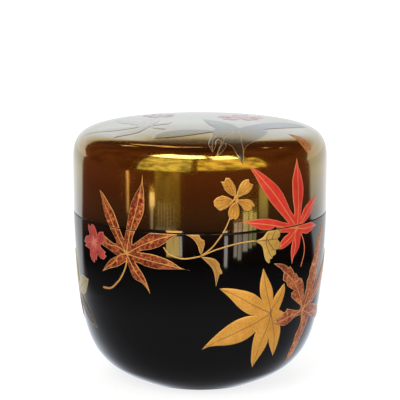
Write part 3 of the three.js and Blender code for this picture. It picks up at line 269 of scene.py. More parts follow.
        [[[27.23,50.0],[25.33,52.22],[23.47,54.47],[21.68,56.78],[19.89,59.08],[18.01,61.31],[16.05,63.48],[14.07,65.62],[12.07,67.75]],[[27.23,50.0],[27.38,52.22],[27.54,54.43],[27.62,56.65],[27.58,58.87],[27.4,61.09],[27.19,63.31],[27.16,65.53],[27.4,67.75]],[[27.23,50.0],[28.39,50.89],[29.53,51.8],[30.64,52.77],[31.77,53.7],[32.93,54.59],[34.09,55.48],[35.27,56.35],[36.46,57.19]],[[27.23,50.0],[25.11,50.38],[22.99,50.79],[20.9,51.32],[18.82,51.88],[16.71,52.32],[14.59,52.72],[12.46,53.08],[10.32,53.31]],[[27.23,50.0],[28.36,49.75],[29.5,49.53],[30.66,49.38],[31.82,49.33],[32.98,49.34],[34.15,49.36],[35.31,49.31],[36.46,49.15]],[[27.23,50.0],[26.43,49.41],[25.67,48.75],[24.92,48.09],[24.09,47.54],[23.22,47.06],[22.35,46.55],[21.49,46.05],[20.61,45.58]],[[27.23,50.0],[26.55,48.88],[26.26,47.77],[26.7,46.63],[26.85,45.46],[26.48,44.31],[26.14,43.2],[25.95,42.06],[25.87,40.9]]]),
    "bud_gold": ("v",
        [[18.45,42.36],[18.39,43.27],[19.01,43.31],[19.29,43.94],[20.21,44.33],[20.16,45.5],[20.77,45.55],[21.4,46.26],[21.22,47.29],[20.52,48.15],[21.3,48.82],[21.44,49.94],[20.66,50.55],[17.77,50.55],[17.17,50.08],[16.31,49.15],[15.46,48.74],[13.94,48.37],[15.94,46.92],[16.75,44.25],[17.22,43.03],[18.0,42.22]],
        [[[14.39,48.31],[16.05,48.27],[17.48,48.27],[18.68,48.25],[20.21,48.23]],[[17.18,48.29],[17.32,49.32],[17.89,49.98]],[[17.48,48.27],[18.42,46.88],[19.37,45.71],[20.02,45.46]],[[16.94,48.07],[17.39,46.49],[18.19,44.86],[18.84,43.76]],[[18.68,48.25],[19.25,49.33],[19.84,50.52]]]),
    "leaf_toothed": ("v",
        [[32.34,14.43],[33.19,16.16],[33.88,18.41],[34.93,20.78],[35.92,22.53],[36.38,24.38],[36.9,25.2],[38.5,24.6],[41.5,23.2],[45.0,22.5],[48.8,22.6],[46.0,25.0],[42.5,26.8],[39.0,27.8],[36.5,28.3],[42.0,30.8],[46.0,33.6],[49.5,37.0],[51.5,40.4],[49.0,39.5],[46.0,38.0],[42.0,35.5],[39.0,33.0],[36.6,31.6],[38.1,34.3],[39.4,37.3],[40.3,40.5],[41.1,46.5],[40.9,49.3],[40.34,48.13],[38.61,45.86],[37.44,43.73],[36.53,41.27],[34.37,37.74],[34.02,36.23],[33.13,35.09],[33.1,33.49],[32.6,31.99],[32.32,30.45],[32.0,32.39],[31.4,34.63],[30.25,36.45],[28.89,36.83],[27.89,38.07],[27.08,38.34],[26.4,39.25],[25.34,40.47],[24.82,40.15],[23.17,41.2],[21.44,41.72],[19.7,41.94],[20.88,41.03],[22.22,40.16],[23.12,39.11],[22.94,37.17],[24.24,36.32],[24.65,35.47],[25.88,34.61],[27.55,33.77],[26.39,33.19],[26.53,32.1],[27.91,31.04],[31.29,28.76],[30.77,27.85],[28.85,28.18],[25.2,29.27],[24.92,28.64],[23.7,28.04],[23.08,27.33],[21.74,27.02],[21.01,26.06],[22.66,25.36],[24.64,24.75],[27.26,25.48],[28.4,26.09],[30.13,26.43],[31.86,26.34],[32.29,24.18],[31.81,22.62],[30.84,21.14],[30.73,19.13],[30.28,17.16],[30.27,14.94],[31.13,12.28]],
        [[[32.03,27.66],[30.9,29.76],[29.83,31.92],[28.59,34.0],[27.08,35.92],[25.37,37.67],[23.45,39.14],[21.46,40.41],[19.7,41.94]],[[32.03,27.66],[30.65,27.43],[29.27,27.25],[27.88,27.18],[26.49,27.06],[25.13,26.77],[23.77,26.45],[22.39,26.25],[21.01,26.06]],[[32.03,27.66],[33.31,30.12],[34.61,32.57],[35.85,35.05],[36.99,37.57],[38.03,40.13],[38.91,42.76],[39.67,45.43],[40.34,48.13]],[[32.03,27.66],[32.25,25.77],[32.88,23.91],[33.15,21.96],[32.7,19.96],[32.12,18.02],[31.68,16.11],[31.35,14.2],[31.13,12.28]],[[32.03,27.66],[34.52,29.16],[37.12,30.48],[39.75,31.76],[42.24,33.27],[44.62,34.97],[46.95,36.73],[49.25,38.54],[51.5,40.4]],[[32.03,27.66],[34.06,26.7],[36.15,26.0],[38.36,25.89],[40.53,25.54],[42.6,24.79],[44.66,24.05],[46.73,23.33],[48.8,22.6]]]),
    "leaf_gold": ("v",
        [[16.97,15.46],[18.77,18.77],[19.53,20.69],[19.7,22.39],[20.32,20.28],[22.77,16.39],[23.45,20.02],[23.63,22.28],[23.52,24.26],[23.17,25.07],[20.93,25.95],[20.88,26.07],[21.65,27.12],[23.01,27.45],[23.6,28.12],[24.21,28.44],[22.26,29.49],[23.48,32.63],[23.84,34.41],[23.53,36.31],[22.23,35.21],[20.99,33.94],[19.98,32.38],[19.85,34.23],[19.41,35.88],[18.54,37.56],[17.54,39.25],[16.58,41.18],[15.85,37.62],[15.8,35.55],[16.19,33.68],[16.85,32.54],[15.75,33.58],[14.25,34.67],[12.54,35.47],[10.65,36.03],[8.78,36.49],[6.68,36.75],[4.87,36.75],[7.5,34.29],[9.97,31.62],[11.36,30.47],[12.86,29.54],[15.2,28.87],[13.73,29.03],[11.75,28.83],[9.61,28.19],[7.46,27.01],[5.38,25.47],[3.52,23.76],[1.97,22.14],[0.48,20.41],[2.5,21.26],[4.69,21.48],[7.22,21.48],[9.7,21.75],[11.96,22.39],[13.9,23.42],[15.43,24.66],[14.99,23.03],[14.79,21.08],[14.86,18.74],[15.24,16.21],[16.32,13.67]],
        [[[19.66,28.95],[17.78,29.86],[15.9,30.78],[14.07,31.78],[12.28,32.87],[10.49,33.97],[8.68,35.01],[6.8,35.93],[4.87,36.75]],[[19.66,28.95],[19.24,30.47],[18.77,31.98],[18.26,33.47],[17.78,34.98],[17.37,36.5],[17.04,38.04],[16.79,39.61],[16.58,41.18]],[[19.66,28.95],[19.84,30.03],[20.34,30.87],[21.15,31.54],[21.82,32.42],[22.3,33.42],[22.76,34.37],[23.17,35.33],[23.53,36.31]],[[19.66,28.95],[17.25,27.91],[14.83,26.9],[12.39,25.93],[9.95,24.96],[7.51,23.98],[5.08,22.98],[2.72,21.81],[0.48,20.41]],[[19.66,28.95],[19.23,27.04],[18.73,25.15],[18.06,23.31],[17.36,21.47],[16.86,19.57],[16.53,17.62],[16.33,15.66],[16.32,13.67]],[[19.66,28.95],[20.06,27.38],[20.49,25.82],[21.03,24.29],[21.54,22.76],[21.89,21.18],[22.17,19.58],[22.47,17.98],[22.77,16.39]]]),
    "leaf_pale": ("v",
        [[-47.31,22.81],[-46.34,24.18],[-46.17,25.84],[-46.05,28.34],[-42.63,25.3],[-40.6,23.6],[-38.1,22.7],[-33.98,22.28],[-36.37,25.67],[-38.38,27.4],[-40.85,28.34],[-43.23,29.49],[-39.32,30.4],[-37.62,31.87],[-35.68,35.02],[-39.37,35.35],[-41.56,34.87],[-43.28,33.45],[-45.1,32.37],[-45.37,34.24],[-45.25,36.36],[-46.13,38.31],[-48.5,40.93],[-49.82,37.66],[-49.98,35.53],[-49.15,33.57],[-48.2,32.03],[-49.24,33.21],[-50.73,34.59],[-52.69,35.16],[-56.03,35.1],[-54.41,32.18],[-52.93,30.77],[-51.0,30.17],[-48.93,29.71],[-51.83,29.1],[-53.13,28.06],[-54.66,25.8],[-51.94,25.51],[-50.31,25.84],[-49.48,26.47],[-50.1,25.55],[-50.24,23.88],[-49.58,21.14]],
        [[[-46.5,29.6],[-49.36,21.73]],[[-46.5,29.6],[-34.86,22.8]],[[-46.5,29.6],[-36.44,34.64]],[[-46.5,29.6],[-48.36,40.13]],[[-46.5,29.6],[-55.36,34.72]],[[-46.5,29.6],[-54.09,26.06]]]),
    "leaf_gold_back": ("v",
        [[87.79,16.83],[87.64,19.15],[86.45,21.13],[85.39,22.61],[87.37,21.23],[89.59,19.91],[92.18,19.72],[96.31,20.67],[93.53,23.88],[91.32,25.24],[88.75,25.49],[86.77,25.33],[88.82,25.56],[91.34,26.26],[93.3,28.0],[95.54,31.67],[91.25,31.86],[88.71,31.21],[86.6,29.37],[87.58,31.09],[87.71,33.47],[86.74,37.24],[83.83,34.65],[82.61,32.61],[82.43,30.26],[82.52,29.36],[82.13,30.71],[80.87,31.97],[78.2,33.31],[78.03,30.33],[78.49,28.61],[80.92,25.97],[77.97,26.14],[76.53,25.44],[74.63,23.52],[77.08,22.37],[78.63,22.21],[77.92,21.58],[77.26,19.8],[77.15,16.64],[80.08,17.83],[81.53,19.06],[82.22,20.82],[82.59,22.28],[82.49,19.84],[82.69,17.54],[83.93,15.58],[86.86,13.11]],
        [[[83.0,25.0],[75.22,23.63]],[[83.0,25.0],[77.56,17.23]],[[83.0,25.0],[86.59,13.94]],[[83.0,25.0],[95.38,20.98]],[[83.0,25.0],[94.66,31.2]],[[83.0,25.0],[86.48,36.38]],[[83.0,25.0],[78.54,32.73]]]),
    "leaf_red_back_vessel": ("v",
        [[-89.94,36.49],[-89.65,37.99],[-89.1,37.25],[-87.41,36.46],[-84.34,36.07],[-85.25,39.03],[-86.33,40.55],[-87.98,41.38],[-89.38,41.87],[-87.01,41.56],[-84.74,41.56],[-82.72,42.6],[-80.06,45.26],[-83.61,46.48],[-85.89,46.53],[-87.92,45.53],[-89.47,44.63],[-87.94,46.44],[-86.47,48.5],[-86.14,50.55],[-91.54,50.55],[-91.98,48.16],[-92.0,46.2],[-92.05,48.23],[-92.48,50.55],[-97.89,50.55],[-97.57,48.6],[-95.96,46.39],[-97.56,47.49],[-99.86,47.82],[-103.63,47.2],[-101.35,44.13],[-99.47,42.77],[-97.18,42.4],[-96.3,42.41],[-97.64,42.14],[-98.99,41.01],[-100.53,38.52],[-97.63,38.1],[-95.91,38.41],[-93.12,40.55],[-93.55,37.68],[-92.99,36.23],[-91.27,34.2]],
        [[[-92.0,42.5],[-91.32,34.78]],[[-92.0,42.5],[-84.88,36.52]],[[-92.0,42.5],[-80.9,45.06]],[[-92.0,42.5],[-87.01,54.25]],[[-92.0,42.5],[-97.06,54.41]],[[-92.0,42.5],[-102.82,46.87]],[[-92.0,42.5],[-99.93,38.8]]]),
    "leaf_red_back_lid": ("l",
        [[-94.05,2.14],[-97.44,4.63],[-97.99,0.47],[-97.94,0.13],[-92.56,0.13]],
        [[[-92.0,-8.18],[-91.32,-15.89]],[[-92.0,-8.18],[-84.88,-14.15]],[[-92.0,-8.18],[-80.9,-5.61]],[[-92.0,-8.18],[-87.01,3.57]],[[-92.0,-8.18],[-97.06,3.74]],[[-92.0,-8.18],[-102.82,-3.81]],[[-92.0,-8.18],[-99.93,-11.87]]]),
    "leaf_mottled_back": ("v",
        [[-68.7,15.32],[-68.12,16.59],[-68.24,19.38],[-66.56,17.79],[-65.36,17.49],[-63.26,17.69],[-64.14,19.6],[-64.99,20.48],[-64.25,20.5],[-62.97,21.23],[-61.32,23.06],[-63.66,23.82],[-65.14,23.81],[-66.44,23.11],[-67.39,22.42],[-66.11,23.83],[-65.07,25.3],[-64.83,27.1],[-65.35,30.04],[-67.76,28.28],[-68.83,26.82],[-69.12,25.04],[-69.23,23.62],[-69.72,25.44],[-70.39,27.34],[-71.84,28.76],[-74.79,30.26],[-74.73,26.95],[-74.09,25.03],[-72.68,23.59],[-71.42,22.69],[-72.75,23.58],[-74.61,24.43],[-76.66,24.37],[-79.83,23.3],[-77.37,21.04],[-75.52,20.15],[-73.34,20.19],[-74.79,19.66],[-76.06,18.3],[-77.37,15.56],[-74.33,15.65],[-72.58,16.25],[-71.3,17.57],[-70.9,18.15],[-71.34,17.15],[-71.22,15.76],[-70.3,13.63]],
        [[[-69.0,21.0],[-63.66,17.92]],[[-69.0,21.0],[-61.85,22.92]],[[-69.0,21.0],[-65.6,29.41]],[[-69.0,21.0],[-74.38,29.61]],[[-69.0,21.0],[-79.08,23.14]],[[-69.0,21.0],[-76.79,15.94]],[[-69.0,21.0],[-70.21,14.14]]]),
    "blossom_red_back": ("v",
        [[62.39,28.55],[63.2,29.76],[63.27,31.33],[63.49,31.37],[64.09,29.92],[65.27,29.05],[66.13,29.35],[66.22,30.39],[67.26,30.52],[67.52,31.39],[66.62,32.53],[65.14,33.08],[65.18,33.31],[66.74,33.43],[67.93,34.28],[67.92,35.19],[66.95,35.6],[67.15,36.63],[66.4,37.15],[65.04,36.64],[64.06,35.41],[63.85,35.51],[64.22,37.04],[63.78,38.43],[62.91,38.7],[62.22,37.9],[61.31,38.42],[60.58,37.87],[60.64,36.41],[61.51,35.1],[61.35,34.93],[60.01,35.75],[58.55,35.77],[58.03,35.02],[58.57,34.12],[57.8,33.41],[58.1,32.55],[59.5,32.16],[61.02,32.58],[61.13,32.38],[59.93,31.35],[59.47,29.97],[60.02,29.24],[61.04,29.48],[61.48,28.53]],
        [[[63.41,35.8],[63.72,37.6]],[[62.97,35.06],[62.92,37.97]],[[62.82,34.52],[62.31,37.39]],[[62.49,34.98],[61.54,37.73]],[[61.83,35.53],[60.92,37.1]],[[60.93,34.6],[59.33,35.45]],[[61.51,33.96],[58.72,34.81]],[[61.97,33.64],[59.09,34.05]],[[61.44,33.47],[58.53,33.42]],[[60.71,33.01],[58.93,32.64]],[[61.32,31.87],[60.01,30.61]],[[62.11,32.22],[60.43,29.84]],[[62.54,32.57],[61.27,29.95]],[[62.54,32.01],[61.69,29.22]],[[62.76,31.17],[62.57,29.36]],[[64.03,31.4],[64.82,29.76]],[[63.94,32.25],[65.69,29.93]],[[63.75,32.78],[65.84,30.75]],[[64.28,32.61],[66.66,30.93]],[[65.14,32.55],[66.8,31.81]],[[65.32,33.83],[67.12,34.08]],[[64.48,34.01],[67.23,34.96]],[[63.92,33.99],[66.49,35.36]],[[64.25,34.44],[66.57,36.19]],[[64.57,35.24],[65.78,36.59]]]),
    "blossom_gold_back": ("l",
        [[74.04,6.33],[75.1,6.08],[75.67,6.83],[75.18,8.27],[73.94,9.33],[74.06,9.54],[75.63,9.11],[77.09,9.51],[77.4,10.41],[76.6,11.15],[77.16,12.08],[76.62,12.85],[75.11,12.84],[73.71,11.99],[73.55,12.16],[74.45,13.52],[74.51,15.03],[73.76,15.61],[72.81,15.07],[72.09,15.9],[71.19,15.62],[70.73,14.18],[71.11,12.59],[70.9,12.48],[69.88,13.76],[68.46,14.29],[67.69,13.75],[67.9,12.68],[66.89,12.26],[66.88,11.31],[68.11,10.43],[69.74,10.3],[69.77,10.07],[68.24,9.49],[67.3,8.31],[67.58,7.4],[68.66,7.27],[68.75,6.19],[69.65,5.88],[70.86,6.78],[71.49,8.29],[71.72,8.25],[71.8,6.62],[72.63,5.35],[73.58,5.34]],
        [[[73.22,12.6],[74.16,14.24]],[[72.53,12.03],[73.51,14.89]],[[72.19,11.56],[72.71,14.54]],[[72.03,12.12],[72.08,15.14]],[[71.58,12.89],[71.25,14.75]],[[70.37,12.31],[69.11,13.71]],[[70.71,11.47],[68.29,13.29]],[[71.05,11.01],[68.38,12.43]],[[70.47,11.03],[67.61,12.01]],[[69.59,10.84],[67.72,11.1]],[[69.78,9.51],[68.05,8.74]],[[70.67,9.57],[68.2,7.84]],[[71.22,9.75],[69.05,7.65]],[[71.03,9.21],[69.21,6.79]],[[70.93,8.32],[70.11,6.62]],[[72.25,8.08],[72.45,6.2]],[[72.47,8.95],[73.36,6.06]],[[72.47,9.53],[73.8,6.81]],[[72.93,9.17],[74.66,6.7]],[[73.75,8.81],[75.11,7.5]],[[74.38,9.99],[76.23,9.6]],[[73.62,10.47],[76.64,10.42]],[[73.07,10.65],[76.06,11.07]],[[73.55,10.97],[76.44,11.86]],[[74.15,11.64],[75.81,12.53]]]),
    "blossom_gold_side": ("l",
        [[-63.61,4.55],[-62.8,5.76],[-62.73,7.33],[-62.51,7.37],[-61.91,5.92],[-60.73,5.05],[-59.87,5.35],[-59.78,6.39],[-58.74,6.52],[-58.48,7.39],[-59.38,8.53],[-60.86,9.08],[-60.82,9.31],[-59.26,9.43],[-58.07,10.28],[-58.08,11.19],[-59.05,11.6],[-58.85,12.63],[-59.6,13.15],[-60.96,12.64],[-61.94,11.41],[-62.15,11.51],[-61.78,13.04],[-62.22,14.43],[-63.09,14.7],[-63.78,13.9],[-64.69,14.42],[-65.42,13.87],[-65.36,12.41],[-64.49,11.1],[-64.65,10.93],[-65.99,11.75],[-67.45,11.77],[-67.97,11.02],[-67.43,10.12],[-68.2,9.41],[-67.9,8.55],[-66.5,8.16],[-64.98,8.58],[-64.87,8.38],[-66.07,7.35],[-66.53,5.97],[-65.98,5.24],[-64.96,5.48],[-64.52,4.53]],
        [[[-62.59,11.8],[-62.28,13.6]],[[-63.03,11.06],[-63.08,13.97]],[[-63.18,10.52],[-63.69,13.39]],[[-63.51,10.98],[-64.46,13.73]],[[-64.17,11.53],[-65.08,13.1]],[[-65.07,10.6],[-66.67,11.45]],[[-64.49,9.96],[-67.28,10.81]],[[-64.03,9.64],[-66.91,10.05]],[[-64.56,9.47],[-67.47,9.42]],[[-65.29,9.01],[-67.07,8.64]],[[-64.68,7.87],[-65.99,6.61]],[[-63.89,8.22],[-65.57,5.84]],[[-63.46,8.57],[-64.73,5.95]],[[-63.46,8.01],[-64.31,5.22]],[[-63.24,7.17],[-63.43,5.36]],[[-61.97,7.4],[-61.18,5.76]],[[-62.06,8.25],[-60.31,5.93]],[[-62.25,8.78],[-60.16,6.75]],[[-61.72,8.61],[-59.34,6.93]],[[-60.86,8.55],[-59.2,7.81]],[[-60.68,9.83],[-58.88,10.08]],[[-61.52,10.01],[-58.77,10.96]],[[-62.08,9.99],[-59.51,11.36]],[[-61.75,10.44],[-59.43,12.19]],[[-61.43,11.24],[-60.22,12.59]]]),
    "leaf_black_top": ("t",
        [[11.1,-31.0],[10.9,-29.9],[11.0,-28.8],[11.3,-27.4],[12.0,-25.4],[14.9,-18.9],[17.3,-9.6],[16.6,-6.6],[18.6,-4.8],[23.9,-1.9],[26.3,-0.3],[27.7,1.0],[26.2,4.3],[23.5,6.4],[20.5,6.6],[17.0,4.6],[13.6,0.8],[11.4,-2.4],[10.2,-4.4],[8.3,1.4],[5.8,5.2],[3.0,8.0],[0.8,9.6],[1.2,5.0],[2.2,-0.1],[3.6,-5.0],[3.2,-8.6],[1.0,-7.6],[-4.5,-7.4],[-9.0,-10.2],[-11.4,-14.5],[-11.7,-19.5],[-8.0,-19.0],[-4.4,-17.4],[0.2,-14.2],[3.0,-11.8],[3.0,-15.4],[2.5,-19.5],[2.2,-22.8],[2.1,-26.5],[2.5,-29.3],[3.1,-30.8],[3.6,-29.4],[3.9,-27.0],[4.1,-22.8],[4.7,-19.8],[5.2,-22.5],[5.0,-26.5],[4.0,-32.0],[4.9,-31.2],[5.6,-30.2],[6.3,-28.4],[6.5,-25.0],[7.2,-26.2],[8.9,-30.2],[9.7,-31.4],[10.4,-32.2],[11.2,-32.9]],
        [[[9.0,-10.0],[3.0,-11.0],[-4.0,-13.2],[-11.2,-19.0]],[[8.6,-11.0],[4.2,-15.5],[3.1,-22.0],[3.0,-30.2]],[[8.8,-11.5],[6.0,-19.0],[5.6,-26.0],[4.3,-31.4]],[[9.4,-10.0],[10.4,-16.5],[10.2,-24.0],[11.0,-32.3]],[[10.0,-9.0],[16.5,-3.0],[21.5,0.2],[27.0,1.0]],[[8.6,-9.0],[5.6,-1.0],[1.2,9.0]]]),
    "leaf_line_top": ("t",
        [[-17.79,-13.36],[-15.7,-10.88],[-14.56,-7.86],[-12.93,-2.5],[-11.9,-5.36],[-10.84,-6.26],[-8.7,-7.14],[-8.79,-4.83],[-9.28,-3.52],[-12.18,-1.09],[-9.85,0.08],[-8.56,0.81],[-7.77,2.07],[-7.15,4.46],[-9.57,4.01],[-10.88,3.3],[-11.7,2.07],[-12.35,0.46],[-11.07,4.33],[-10.56,6.85],[-11.02,9.4],[-12.75,13.1],[-14.61,9.46],[-15.16,6.93],[-14.75,4.39],[-13.87,1.68],[-15.11,5.12],[-16.46,7.75],[-18.66,9.75],[-22.75,11.94],[-21.77,7.4],[-20.46,4.74],[-18.3,2.71],[-16.11,-0.08],[-20.13,-1.3],[-23.34,-1.89],[-26.17,-3.55],[-29.82,-7.12],[-24.73,-7.51],[-21.5,-6.97],[-18.65,-5.36],[-15.71,-3.28],[-18.16,-5.78],[-20.21,-8.28],[-21.31,-11.33],[-21.85,-16.33]],
        [[[-13.0,-1.0],[-21.23,-15.26]],[[-13.0,-1.0],[-9.0,-6.71]],[[-13.0,-1.0],[-7.56,4.07]],[[-13.0,-1.0],[-12.77,12.11]],[[-13.0,-1.0],[-22.07,11.03]],[[-13.0,-1.0],[-28.64,-6.69]]]),
    "leaf_brown_top": ("t",
        [[29.1,-16.9],[28.7,-15.3],[27.6,-14.2],[26.2,-13.3],[22.3,-11.2],[24.0,-15.6],[25.0,-17.4],[26.4,-18.5],[28.3,-18.7]],
        [[[22.6,-11.6],[24.8,-14.4],[26.8,-16.6],[28.3,-18.0]]]),
    "blossom_pink_top": ("t",
        [[13.66,8.59],[13.98,9.82],[15.25,9.75],[15.75,10.73],[14.91,12.28],[13.27,13.25],[13.36,13.52],[15.25,13.33],[16.85,14.09],[17.02,15.19],[15.95,15.87],[16.41,17.06],[15.63,17.84],[13.89,17.52],[12.47,16.26],[12.24,16.42],[13.0,18.17],[12.77,19.92],[11.79,20.42],[10.8,19.62],[9.81,20.42],[8.83,19.92],[8.6,18.17],[9.36,16.42],[9.13,16.26],[7.71,17.52],[5.97,17.84],[5.19,17.06],[5.65,15.87],[4.58,15.19],[4.75,14.09],[6.35,13.33],[8.24,13.52],[8.33,13.25],[6.69,12.28],[5.85,10.73],[6.35,9.75],[7.62,9.82],[7.94,8.59],[9.03,8.42],[10.25,9.7],[10.66,11.56],[10.94,11.56],[11.35,9.7],[12.57,8.42]],
        [[[11.77,16.86],[12.52,18.94]],[[11.1,16.07],[11.65,19.55]],[[10.8,15.46],[10.8,18.99]],[[10.5,16.07],[9.95,19.55]],[[9.83,16.86],[9.08,18.94]],[[8.57,15.95],[6.83,17.3]],[[9.12,15.06],[5.97,16.66]],[[9.6,14.59],[6.25,15.68]],[[8.93,14.5],[5.45,15.05]],[[7.97,14.1],[5.76,14.02]],[[8.45,12.61],[6.62,11.38]],[[9.46,12.86],[6.97,10.37]],[[10.06,13.18],[7.99,10.33]],[[9.94,12.52],[8.34,9.37]],[[10.02,11.47],[9.41,9.36]],[[11.58,11.47],[12.19,9.36]],[[11.66,12.52],[13.26,9.37]],[[11.54,13.18],[13.61,10.33]],[[12.14,12.86],[14.63,10.37]],[[13.15,12.61],[14.98,11.38]],[[13.63,14.1],[15.84,14.02]],[[12.67,14.5],[16.15,15.05]],[[12.0,14.59],[15.35,15.68]],[[12.48,15.06],[15.63,16.66]],[[13.03,15.95],[14.77,17.3]]]),
    "blossom_lilac_top": ("t",
        [[-11.51,14.11],[-10.83,15.14],[-10.77,16.47],[-10.58,16.5],[-10.07,15.27],[-9.08,14.54],[-8.35,14.79],[-8.28,15.67],[-7.4,15.78],[-7.17,16.51],[-7.94,17.48],[-9.19,17.95],[-9.16,18.14],[-7.83,18.24],[-6.83,18.96],[-6.84,19.73],[-7.66,20.08],[-7.49,20.95],[-8.12,21.39],[-9.27,20.96],[-10.1,19.92],[-10.28,20.0],[-9.97,21.3],[-10.34,22.47],[-11.08,22.7],[-11.66,22.03],[-12.43,22.46],[-13.05,21.99],[-12.99,20.76],[-12.26,19.65],[-12.39,19.51],[-13.53,20.21],[-14.76,20.22],[-15.21,19.59],[-14.75,18.83],[-15.4,18.22],[-15.15,17.49],[-13.96,17.16],[-12.67,17.52],[-12.58,17.35],[-13.6,16.48],[-13.99,15.31],[-13.52,14.7],[-12.66,14.9],[-12.29,14.09]],
        [[[-10.66,20.25],[-10.39,21.77]],[[-11.02,19.62],[-11.07,22.08]],[[-11.15,19.17],[-11.58,21.59]],[[-11.43,19.55],[-12.23,21.88]],[[-11.99,20.01],[-12.76,21.35]],[[-12.75,19.23],[-14.11,19.95]],[[-12.26,18.69],[-14.62,19.41]],[[-11.87,18.42],[-14.31,18.77]],[[-12.32,18.28],[-14.78,18.23]],[[-12.94,17.89],[-14.44,17.57]],[[-12.42,16.92],[-13.53,15.85]],[[-11.76,17.22],[-13.17,15.2]],[[-11.39,17.51],[-12.47,15.29]],[[-11.39,17.04],[-12.11,14.68]],[[-11.21,16.33],[-11.37,14.8]],[[-10.13,16.52],[-9.46,15.14]],[[-10.21,17.25],[-8.72,15.28]],[[-10.37,17.69],[-8.59,15.98]],[[-9.92,17.54],[-7.9,16.13]],[[-9.19,17.49],[-7.78,16.87]],[[-9.04,18.58],[-7.51,18.79]],[[-9.75,18.73],[-7.42,19.53]],[[-10.22,18.71],[-8.05,19.87]],[[-9.95,19.09],[-7.98,20.58]],[[-9.68,19.77],[-8.64,20.92]]]),
}


# ---------------------------------------------------------------- materials
class Tree:
    """Small helper to write node materials."""

    def __init__(self, name, world=False):
        if world:
            self.owner = bpy.data.worlds.new(name)
        else:
            self.owner = bpy.data.materials.new(name)
        self.owner.use_nodes = True
        self.nt = self.owner.node_tree
        self.nt.nodes.clear()
        self.out = self.nt.nodes.new("ShaderNodeOutputWorld" if world else "ShaderNodeOutputMaterial")

    def node(self, kind, **props):
        n = self.nt.nodes.new("ShaderNode" + kind)
        for k, v in props.items():
            setattr(n, k, v)
        return n

    def put(self, sock, value):
        if isinstance(value, bpy.types.NodeSocket):
            self.nt.links.new(value, sock)
        elif value is not None:
            if hasattr(sock.default_value, "__len__") and not isinstance(value, (tuple, list)):
                value = (value,) * len(sock.default_value)
            if hasattr(sock.default_value, "__len__") and len(sock.default_value) == 4 and len(value) == 3:
                value = (*value, 1.0)
            sock.default_value = value

    def math(self, op, a, b=None, c=None, clamp=False):
        n = self.node("Math", operation=op, use_clamp=clamp)
        for i, v in enumerate((a, b, c)):
            if v is not None:
                self.put(n.inputs[i], v)
        return n.outputs[0]

    def vmath(self, op, a, b=None):
        n = self.node("VectorMath", operation=op)
        self.put(n.inputs[0], a)
        if b is not None:
            self.put(n.inputs[1], b)
        return n.outputs["Value" if op in ("LENGTH", "DOT_PRODUCT", "DISTANCE") else "Vector"]

    def scaled(self, vec, x, y, z):
        n = self.node("Mapping", vector_type="POINT")
        self.put(n.inputs["Vector"], vec)
        n.inputs["Scale"].default_value = (x, y, z)
        return n.outputs[0]

    def remap(self, v, a, b, c=0.0, d=1.0, smooth=False):
        n = self.node("MapRange", interpolation_type="SMOOTHSTEP" if smooth else "LINEAR", clamp=True)
        for i, x in enumerate((v, a, b, c, d)):
            self.put(n.inputs[i], x)
        return n.outputs[0]

    def mix(self, fac, a, b, blend="MIX"):
        n = self.node("Mix", data_type="RGBA", blend_type=blend)
        self.put(n.inputs[0], fac)
        self.put(n.inputs[6], a)
        self.put(n.inputs[7], b)
        return n.outputs[2]

    def ramp(self, fac, stops, interp="LINEAR"):
        n = self.node("ValToRGB")
        self.put(n.inputs[0], fac)
        e = n.color_ramp.elements
        n.color_ramp.interpolation = interp
        e[0].position, e[0].color = stops[0][0], (*stops[0][1], 1)
        e[1].position, e[1].color = stops[-1][0], (*stops[-1][1], 1)
        for p, col in stops[1:-1]:
            x = e.new(p)
            x.color = (*col, 1)
        return n.outputs[0]

    def curve(self, v, points):
        """Piecewise-linear function of v through (v, value) points, with values of 0 to 1."""
        lo, hi = points[0][0], points[-1][0]
        n = self.node("FloatCurve")
        self.put(n.inputs["Value"], self.remap(v, lo, hi))
        c = n.mapping.curves[0]
        for x, y in points[1:-1]:
            c.points.new((x - lo) / (hi - lo), y)
        c.points[0].location = (0.0, points[0][1])
        c.points[-1].location = (1.0, points[-1][1])
        for p in c.points:
            p.handle_type = "VECTOR"
        n.mapping.update()
        return n.outputs[0]

    def noise(self, vec, scale, detail=2.0, rough=0.5, dist=0.0):
        n = self.node("TexNoise")
        self.put(n.inputs["Vector"], vec)
        n.inputs["Scale"].default_value = scale
        n.inputs["Detail"].default_value = detail
        n.inputs["Roughness"].default_value = rough
        n.inputs["Distortion"].default_value = dist
        return n.outputs[0]

    def voronoi(self, vec, scale, feature="F1", out="Distance", rand=1.0):
        n = self.node("TexVoronoi", feature=feature)
        self.put(n.inputs["Vector"], vec)
        n.inputs["Scale"].default_value = scale
        n.inputs["Randomness"].default_value = rand
        return n.outputs[out]

    def attr(self, name):
        return self.node("Attribute", attribute_name=name).outputs["Fac"]

    def place(self):
        return self.node("TexCoord").outputs["Object"]

    def bump(self, height, strength, dist, normal=None):
        n = self.node("Bump")
        n.inputs["Strength"].default_value = strength
        n.inputs["Distance"].default_value = dist
        self.put(n.inputs["Height"], height)
        if normal is not None:
            self.put(n.inputs["Normal"], normal)
        return n.outputs[0]

    def principled(self, **inputs):
        b = self.node("BsdfPrincipled")
        for k, v in inputs.items():
            self.put(b.inputs[k.replace("_", " ")], v)
        self.nt.links.new(b.outputs[0], self.out.inputs["Surface"])
        return b


def split(t, vec):
    n = t.node("SeparateXYZ")
    t.put(n.inputs[0], vec)
    return n.outputs[0], n.outputs[1], n.outputs[2]


